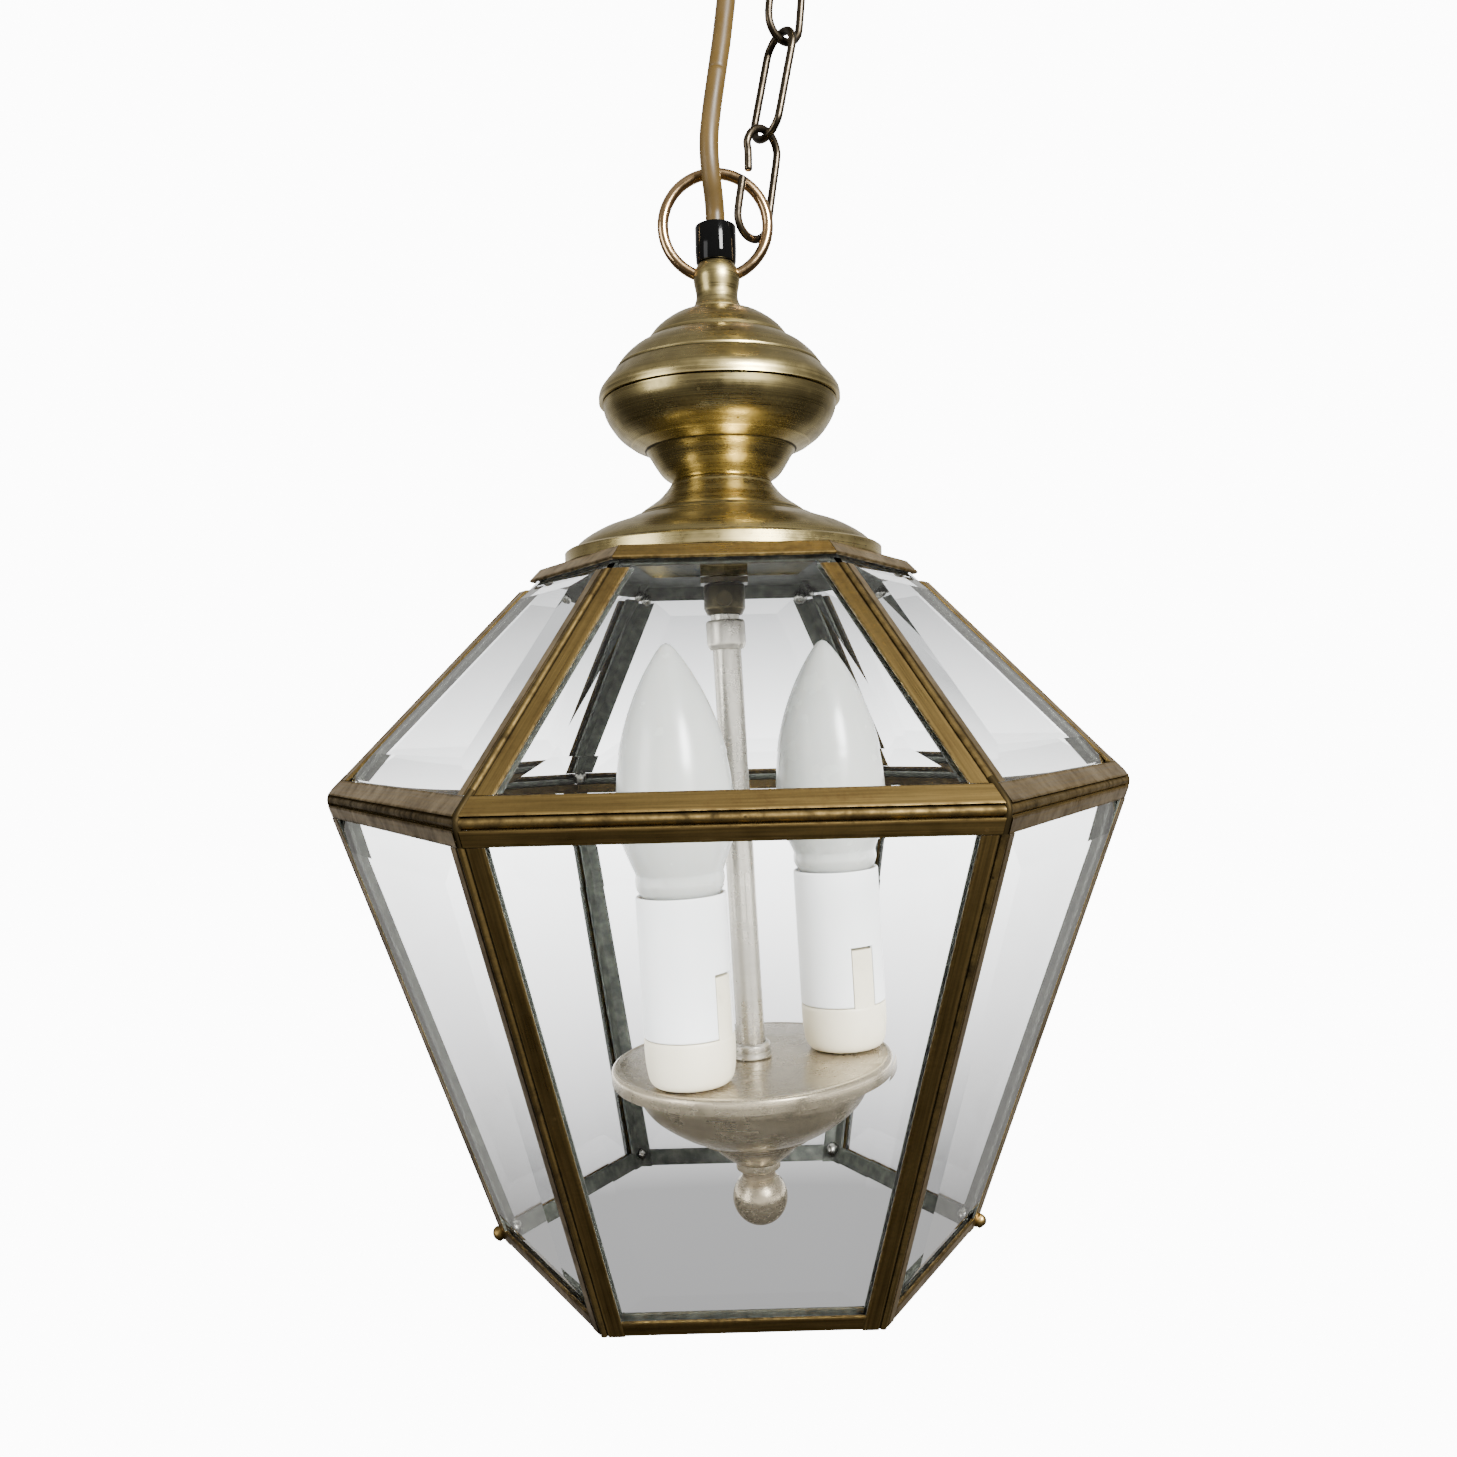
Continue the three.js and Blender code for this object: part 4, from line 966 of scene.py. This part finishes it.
def girdle_bead():
    """The wire in the groove between roof and body, and a filler behind it that is painted dark as
    the shade in the groove.
    """
    mesh = Mesh()
    r = GIRDLE_R - GIRDLE_WIRE_IN
    for k in range(6):
        a, b = radians(60 * k), radians(60 * (k + 1))
        start = Vector((r * cos(a), r * sin(a), 0))
        end = Vector((r * cos(b), r * sin(b), 0))
        swept(mesh, [start.lerp(end, i / 12) for i in range(13)], GIRDLE_WIRE_R, sides=16,
              blunt=0.3)
    # Painted shade, with some dirt, darkens the wire and dulls its highlight.
    mesh.data["tone"] = [BEAD_SHADE] * len(mesh.points)
    came(mesh, "girdle_bead", "girdle_wire")
    mesh = Mesh()
    inner, outer, half = r * COS30 - 5.5, r * COS30 - 0.6, GROOVE - 0.05
    band = [Vector(p) for p in ((inner, -half), (outer, -half), (outer, half), (inner, half))]
    turned(mesh, [Vector((p.x / COS30, p.y)) for p in band], 6)
    # Painted shade: the band takes the full dark tone to darken the groove.
    mesh.data["tone"] = [-1.0] * len(mesh.points)
    came(mesh, "girdle_groove_shade")


girdle_bead()


def corner_came(low_r, low_z, high_r, high_z, cut_low, cut_high):
    """Two leaves with a bead in the groove between them, along the corner at 0 degrees."""
    edge = Vector((high_r - low_r, 0, high_z - low_z)).normalized()
    sideways = Vector((0, 1, 0))
    inward = Vector((-edge.z, 0, edge.x))
    foot = Vector((low_r * cos(pi / 3) - low_r, low_r * sin(pi / 3), 0))
    leafway = (foot - edge * foot.dot(edge)).normalized()
    cos_b, sin_b = leafway.dot(sideways), leafway.dot(inward)

    def at(s, n, side):
        return Vector((side * (s * cos_b - n * sin_b), s * sin_b + n * cos_b))

    half = [(GROOVE_HALF, 0.05), (CORNER_LEAF, 0), (CORNER_LEAF, SKIN), (CORNER_CORE, SKIN),
            (CORNER_CORE, SKIN + SLOT), (CORNER_LEAF, SKIN + SLOT), (CORNER_LEAF, FULL)]
    section = [
        Vector((0, 2.2)),
        at(GROOVE_HALF - 0.15, 1.1, 1),
        *[at(s, n, 1) for s, n in half],
        Vector((0, FULL / cos_b)),
        *[at(s, n, -1) for s, n in reversed(half)],
        at(GROOVE_HALF - 0.15, 1.1, -1),
    ]
    section = dense(rounded(section, 0.3))
    base = Vector((low_r, 0, low_z))

    def level(outline, z):
        out = []
        for u, v in outline:
            p = base + sideways * u + inward * v
            out.append(p + edge * ((z - p.z) / edge.z))
        return out

    # Painted shade: the groove between the leaves takes the full dark tone, and the sharp edges are
    # darkened with some dirt.
    def shade(point, tone):
        if abs(point.x) < GROOVE_HALF * cos_b + 0.1 and point.y < 2.4:
            return -1.0
        return tone * EDGE_SHADE if tone > 0 else tone

    def stretch(outline, tone):
        ends = level(outline, cut_low), level(outline, cut_high)
        across = [s * MM for s in run_lengths(outline)]
        length = abs(cut_high - cut_low) / edge.z * MM
        hidden = [1.0 if v > SKIN + SLOT / 2 + 1 else 0.0 for u, v in outline]
        return *ends, tone, across, [0.0] * len(outline) + [length] * len(outline), hidden

    # The bead is darkened with painted shade and some dirt.
    bead = arc((0, BEAD_R + 0.1), BEAD_R, 0, 337.5, 15)
    section_tones = [shade(p, t) for p, t in zip(section, tones(section))]
    return stretch(section, section_tones), stretch(bead, [BEAD_SHADE] * len(bead))


def corners():
    """Hips and corner posts, each a node of its own."""
    roof_up = face_line(GIRDLE_R, GROOVE, ROOF_TOP_R, ROOF_H)[2]
    body_up = face_line(BODY_FOOT_R, -BODY_H, GIRDLE_R, -GROOVE)[2]
    hip = (GIRDLE_R, GROOVE, ROOF_TOP_R, ROOF_H, GROOVE + roof_up.y * EAVES_LEAF,
           ROOF_H - roof_up.y * CURB_LEAF - GAP - 3)
    post = (BODY_FOOT_R, -BODY_H, GIRDLE_R, -GROOVE, -BODY_H - 0.2,
            -GROOVE - body_up.y * BODY_LEAF)
    for kind, node, sizes in (("hip_came", "roof_hip", hip), ("post_came", "corner_post", post)):
        for k in range(6):
            mesh = Mesh()
            for part in corner_came(*sizes):
                prism(mesh, *part)
            place = LANTERN @ Matrix.Rotation(radians(60 * k), 4, "Z")
            came(mesh, f"{kind}_{k + 1}", f"{node}_{k + 1}", place)


corners()


def corner_beads():
    """Beads across the girdle's corners, solder inside the joints, bead ends on the foot rail."""
    mesh = Mesh()
    for k in range(6):
        turn = Matrix.Rotation(radians(60 * k), 3, "Z")
        path = [(GIRDLE_R - 7.1, 0, 7.4), (GIRDLE_R - 2.3, 0, 2.6), (GIRDLE_R - 1.1, 0, 0),
                (GIRDLE_R - 2, 0, -3), (GIRDLE_R - 3.6, 0, -7.2)]
        swept(mesh, [turn @ p for p in smooth(path, 1)], BEAD_R, sides=12)
    # Painted shade, with some dirt, darkens the corner beads and dulls their highlight.
    mesh.data["tone"] = [CORNER_BEAD_SHADE] * len(mesh.points)
    came(mesh, "girdle_corner_beads")
    mesh = Mesh()
    spots = [(BODY_FOOT_R - 5.2, -BODY_H + 4.2, 2.1), (GIRDLE_R - 7.4, -4.4, 2.4),
             (GIRDLE_R - 9.8, 4.6, 2.2), (ROOF_TOP_R - 3.4, ROOF_H - 6.4, 1.9)]
    for k in range(6):
        turn = Matrix.Rotation(radians(60 * k), 4, "Z")
        for number, (r, z, size) in enumerate(spots):
            uneven = 1 + 0.22 * sin(2.3 * k + 1.7 * number)
            blob(mesh, turn @ Matrix.Translation((r, 0, z)), size * uneven, k + 7 * number)
    mesh.piece("solder_blobs", LANTERN, SOLDER, "lantern", sharp=60)
    mesh = Mesh()
    for x in (-BODY_FOOT_R - 1, BODY_FOOT_R + 0.6):
        blob(mesh, Matrix.Translation((x, 0, -BODY_H + 1.6)), 2.3, 3)
    mesh.piece("rail_end_beads", LANTERN, CAME_BRASS, "lantern", sharp=60)


def blob(mesh, place, size, seed):
    """A small uneven lump of solder."""
    rows, count = 9, 14
    points = [place @ Vector((0, 0, -size))]
    for j in range(1, rows):
        a = pi * j / rows
        for i in range(count):
            b = 2 * pi * i / count
            dent = 0.14 * sin(2 * b + seed) * sin(a) + 0.08 * sin(3 * b + 2 * a + 1.7 * seed)
            r = size * (1 + dent)
            points.append(place @ Vector((r * sin(a) * cos(b), r * sin(a) * sin(b), -r * cos(a))))
    points.append(place @ Vector((0, 0, size)))
    last = len(points) - 1
    faces = []
    for i in range(count):
        k = (i + 1) % count
        faces.append([0, 1 + k, 1 + i])
        faces.append([last, last - count + i, last - count + k])
        for j in range(rows - 2):
            low = 1 + j * count
            faces.append([low + i, low + k, low + count + k, low + count + i])
    plain = [0.0] * len(points)
    mesh.solid(points, faces, plain, plain, plain)


corner_beads()

for number in range(1, 7):
    dressed(f"roof_glass_{number}", ROOF_GLASS)
    dressed(f"body_glass_{number}", BODY_GLASS)

# ---- Lamp cluster ----


def cluster():
    top, foot = COUPLER_TOP, COUPLER_FOOT
    profile = rounded([(5.2, top), (5.2, foot + 1.5), (5, foot + 1.5), (5, foot), (5.5, foot),
                       (6.5, foot + 2), (6.5, top)], 0.4)
    lathe("coupler_turned", profile, LANTERN, DARK_BRONZE, "lantern", "coupler", 64)
    dressed("coupler_screw", DARK_BRONZE)
    top = -1.6
    foot = top - COLLAR_H
    profile = rounded([(COLLAR_BORE, top), (COLLAR_BORE, foot), (5.35, foot),
                       (COLLAR_R, foot + 1.6), (COLLAR_R, top - 0.6), (COLLAR_R - 0.6, top)], 0.5)
    lathe("stem_collar_turned", profile, CLUSTER, SATIN_NICKEL, "lantern", "stem_collar", 64)
    finial_top = PAN_TOP - PAN_RIM - PAN_BOWL_H - 2 * GAP
    profile = rounded([(STEM_BORE, finial_top - 3), (STEM_R, finial_top - 3), (STEM_R, 1),
                       (STEM_BORE, 1)], 0.2)
    lathe("stem_tube_drawn", dense(profile), CLUSTER, SATIN_NICKEL, "lantern", "stem_tube", 56)
    rise = PAN_TOP + GAP
    head = rise + COLLAR_H / 2
    profile = rounded([(COLLAR_BORE, head), (COLLAR_BORE, rise), (COLLAR_R + 0.4, rise),
                       (COLLAR_R, rise + 1.5), (COLLAR_R, rise + 3.9), (COLLAR_R - 0.8, head)], 0.5)
    lathe("base_collar_turned", profile, CLUSTER, SATIN_NICKEL, "lantern", "base_collar", 64)


cluster()


def pan():
    t = PAN_TOP
    profile = [(COLLAR_BORE, t), (PAN_R - 4, t), (PAN_R - 3.2, t - 0.1), (PAN_R - 2, t - 0.1),
               *arc((PAN_R - 1.5, t - 1.5), 1.5, 90, 0, 5), (PAN_R, t - PAN_RIM + 0.5),
               (PAN_R - 0.3, t - PAN_RIM), (PAN_R - WALL, t - PAN_RIM), (PAN_R - WALL, t - 2.4),
               (PAN_R - 2.4, t - WALL), (COLLAR_BORE, t - WALL)]
    lathe("pan_spun", profile, CLUSTER, PAN_BRASS, "lantern", "pan", 128)

    head = t - PAN_RIM - GAP
    tip = head - PAN_BOWL_H
    r = PAN_BOWL_R
    outer = [
        *smooth([(r, head), (r - 0.9, head - 3.8), (r - 5, head - 10), (r - 12.5, head - 15.6),
                 (r - 19, head - 18.9)], 0.8),
        *smooth([(r - 19.6, head - 19.7), (r - 22.4, head - 20.5), (r - 24, head - 22.2),
                 (r - 27, head - 25), (8.2, tip + 0.6)], 0.8),
        (7.4, tip), (COLLAR_BORE, tip),
    ]
    inner = [(COLLAR_BORE, tip + WALL), (7, tip + WALL), (r - 26, head - 22.2),
             (r - 23.6, head - 19.4), (r - 13.2, head - 14.2), (r - 6.4, head - 9.2),
             (r - 2.3, head - 3.6), (r - WALL, head)]
    lathe("pan_bowl_spun", [*outer, *inner], CLUSTER, PAN_BRASS, "lantern", "pan_bowl", 128,
          sharp=28)

    top = tip - GAP
    profile = [(0, top - 4), (COLLAR_BORE, top - 4), (COLLAR_BORE, top)]
    profile += rounded([(7, top), (7, top - 2), (5.4, top - 3)], 0.4, False)
    profile += arc((0, top - FINIAL_H + BALL_R), BALL_R, 54, -90, 28)
    profile[-1].x = 0
    lathe("finial_turned", profile, CLUSTER, PAN_BRASS, "lantern", "finial", 72)


pan()


def lamp(side, spot, notch_turn):
    """A candle holder, its notched sleeve and its bulb."""
    place = CLUSTER @ Matrix.Translation((*spot, PAN_TOP + GAP))
    turn = Matrix.Rotation(radians(notch_turn), 4, "Z")
    rim, collet = HOLDER_BASE_H, HOLDER_BASE_H + SLEEVE_H - 8
    outer = smooth([(9.4, 0), (11.2, 0.5), (12.4, 1.9), (13.1, 5), (13.45, 9),
                    (HOLDER_R, rim - 0.4)])
    mesh = Mesh()
    turned(mesh, [*outer, (HOLDER_R - 0.3, rim), (9.9, rim), (9.9, collet), (7.4, collet), (7.4, 6),
                  (4, 6), (4, 0)])
    half = (NOTCH_WIDTH / 2 - 0.35) / HOLDER_R
    us = [-half + 2 * half * i / 8 for i in range(9)]
    vs = [rim - 0.8, rim + 0.4, rim + NOTCH_H - 1.3, rim + NOTCH_H - 0.6]

    def tongue(u, v, layer):
        r = HOLDER_R - 0.15 if layer == 0 else 9.4
        return turn @ Vector((r * cos(u), r * sin(u), v))

    walled(mesh, tongue, us, vs, lambda u, v: True, False)
    mesh.piece(f"holder_moulded_{side}", place, CREAM, "lantern", f"holder_base_{side}")

    gap = NOTCH_WIDTH / 2 / HOLDER_R
    us = [gap + (2 * pi - 2 * gap) * i / 96 for i in range(97)]
    us += [2 * pi - gap + 2 * gap * i / 8 for i in range(1, 8)]
    foot = rim + GAP
    vs = [foot, foot + 0.4, foot + NOTCH_H - 0.4, foot + NOTCH_H, foot + SLEEVE_H - 0.4,
          foot + SLEEVE_H]

    def tube(u, v, layer):
        r = HOLDER_R if layer == 0 else HOLDER_R - SLEEVE_WALL
        if v > foot + SLEEVE_H - 0.2 or v < foot + 0.2:
            r += -0.25 if layer == 0 else 0.25
        return turn @ Vector((r * cos(u), r * sin(u), v))

    mesh = Mesh()
    walled(mesh, tube, us, vs, lambda u, v: u < 2 * pi - gap or v > foot + NOTCH_H, True)
    mesh.piece(f"sleeve_tube_{side}", place, WHITE, "lantern", f"candle_sleeve_{side}", 30)

    glass_line = [(11.7, 0), (12.9, 2), (13.3, 4), (13.0, 5.6), (13.6, 7.4), (15, 11), (16.6, 16),
                  (17.3, 21), (BULB_R, 26), (17.2, 33), (16.1, 42), (13.8, 51), (10.8, 59),
                  (7.6, 65.5), (4.9, 70), (2.8, 73), (1.3, 74.7)]
    line = smooth([(r, h * BULB_H / BULB_DRAWN_H) for r, h in glass_line], 1.2)
    profile = [(0, -31), (3, -31), (6.9, -28), (6.9, -6), (10.6, -3), *line, (0, BULB_H)]
    top = place @ Matrix.Translation((0, 0, foot + SLEEVE_H))
    lathe(f"bulb_glass_{side}", profile, top, OPAL, f"bulb_{side}", f"bulb_{side}", 96, sharp=60)


lamp("left", HOLDER_LEFT, NOTCH_LEFT)
lamp("right", HOLDER_RIGHT, NOTCH_RIGHT)

# ---- Studio ----

# How bright the white wall is: seen directly, as the light on the object, and seen through glass
# at three levels, given as the sine of the angle above the lantern's girdle.
GLOW_WHITE = 12.0
GLOW_LIGHT = 3.6
LOW_SINE, PEAK_SINE, HIGH_SINE = -0.42, -0.08, 0.12
GLOW_LOW, GLOW_PEAK, GLOW_HIGH = 0.7, 6.2, 1.4
# In metres.
FLOOR_DROP, FLOOR_R, FLOOR_BEND = 0.55, 2.2, 0.8
WALL_TOP = (3.0, 3.0)


def stage():
    """A pale floor that curves up into a round white wall, lit from within."""
    look = Look("pale_stage")
    path = look.node("LightPath").outputs
    level = look.node("VectorMath", {0: look.place, 1: ORIGIN}, operation="SUBTRACT").outputs[0]
    level = look.node("VectorMath", {0: level}, operation="NORMALIZE").outputs[0]
    level = look.node("SeparateXYZ", {0: level}).outputs[2]
    low = look.span(level, LOW_SINE, PEAK_SINE, GLOW_LOW, GLOW_PEAK)
    high = look.span(level, PEAK_SINE, HIGH_SINE, 0, GLOW_PEAK - GLOW_HIGH)
    through_glass = look.math("SUBTRACT", low, high)
    lit = look.math("GREATER_THAN", path["Diffuse Depth"], 0.5)
    strength = look.node("Mix", {0: lit, 2: through_glass, 3: GLOW_LIGHT}).outputs[0]
    strength = look.node("Mix", {0: path["Is Camera Ray"], 2: strength, 3: GLOW_WHITE}).outputs[0]
    look.done(look.node("Emission", {"Color": (1, 1, 1, 1), "Strength": strength}).outputs[0])
    floor_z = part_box("body_bottom_came")[0].z - FLOOR_DROP
    profile = [*arc((FLOOR_R, floor_z + FLOOR_BEND), FLOOR_BEND, -90, 0, 10), WALL_TOP]
    count = 96
    turns = [2 * pi * i / count for i in range(count)]
    points = [(r * cos(a), r * sin(a), z) for r, z in profile for a in turns]
    faces = [list(range(count))]
    for j in range(0, len(points) - count, count):
        for i in range(count):
            k = (i + 1) % count
            faces.append([j + i, j + k, j + count + k, j + count + i])
    mesh = bpy.data.meshes.new("stage")
    mesh.from_pydata(points, [], faces)
    mesh.shade_smooth()
    mesh.materials.append(look.material)
    thing = bpy.data.objects.new("stage", mesh)
    bpy.context.scene.collection.objects.link(thing)
    thing.visible_glossy = False


stage()


def softbox(name, offset, size, power):
    """A soft light this far from the lantern, in metres, facing it."""
    data = bpy.data.lights.new(name, "AREA")
    data.shape = "RECTANGLE"
    data.size, data.size_y = size
    data.energy = power
    made = bpy.data.objects.new(name, data)
    bpy.context.scene.collection.objects.link(made)
    made.location = ORIGIN + Vector(offset)
    made.rotation_mode = "QUATERNION"
    made.rotation_quaternion = (-Vector(offset)).to_track_quat("-Z", "Y")
    made.visible_camera = False
    return made


softbox("key", (0.75, -1.3, 0.75), (0.42, 0.6), 120)
softbox("fill", (-1.5, -0.9, 0.3), (0.7, 1.1), 16)
softbox("top", (0.1, 0.2, 1.6), (1.2, 1.2), 30).visible_glossy = False

# Levels from straight down (0) to straight up (1), and the colours the metal reflects there.
SKY = [(0.0, (0.03, 0.026, 0.02)), (0.42, (0.07, 0.062, 0.05)), (0.56, (0.17, 0.16, 0.14)),
       (1.0, (0.4, 0.39, 0.37))]
WHITE_BEHIND = (0.9, 0.88, 0.85)


def sky():
    """Dim surroundings: brighter above, dark and warm below, and white behind the lantern."""
    world = bpy.data.worlds.new("room")
    bpy.context.scene.world = world
    world.use_nodes = True
    air = Wiring(world.node_tree)
    split = air.node("SeparateXYZ", {0: air.node("TexCoord").outputs["Generated"]}).outputs
    ramp = air.node("ValToRGB", {0: air.span(split[2], -1, 1)})
    stops = ramp.color_ramp.elements
    stops[1].position, stops[1].color = SKY[-1][0], (*SKY[-1][1], 1)
    stops[0].position, stops[0].color = SKY[0][0], (*SKY[0][1], 1)
    for position, colour in SKY[1:-1]:
        stops.new(position).color = (*colour, 1)
    paper = air.mix(air.span(split[1], 0.55, 0.95), ramp.outputs[0], WHITE_BEHIND)
    back = air.node("Background", {0: paper})
    air.node("OutputWorld", {0: back.outputs[0]})


sky()
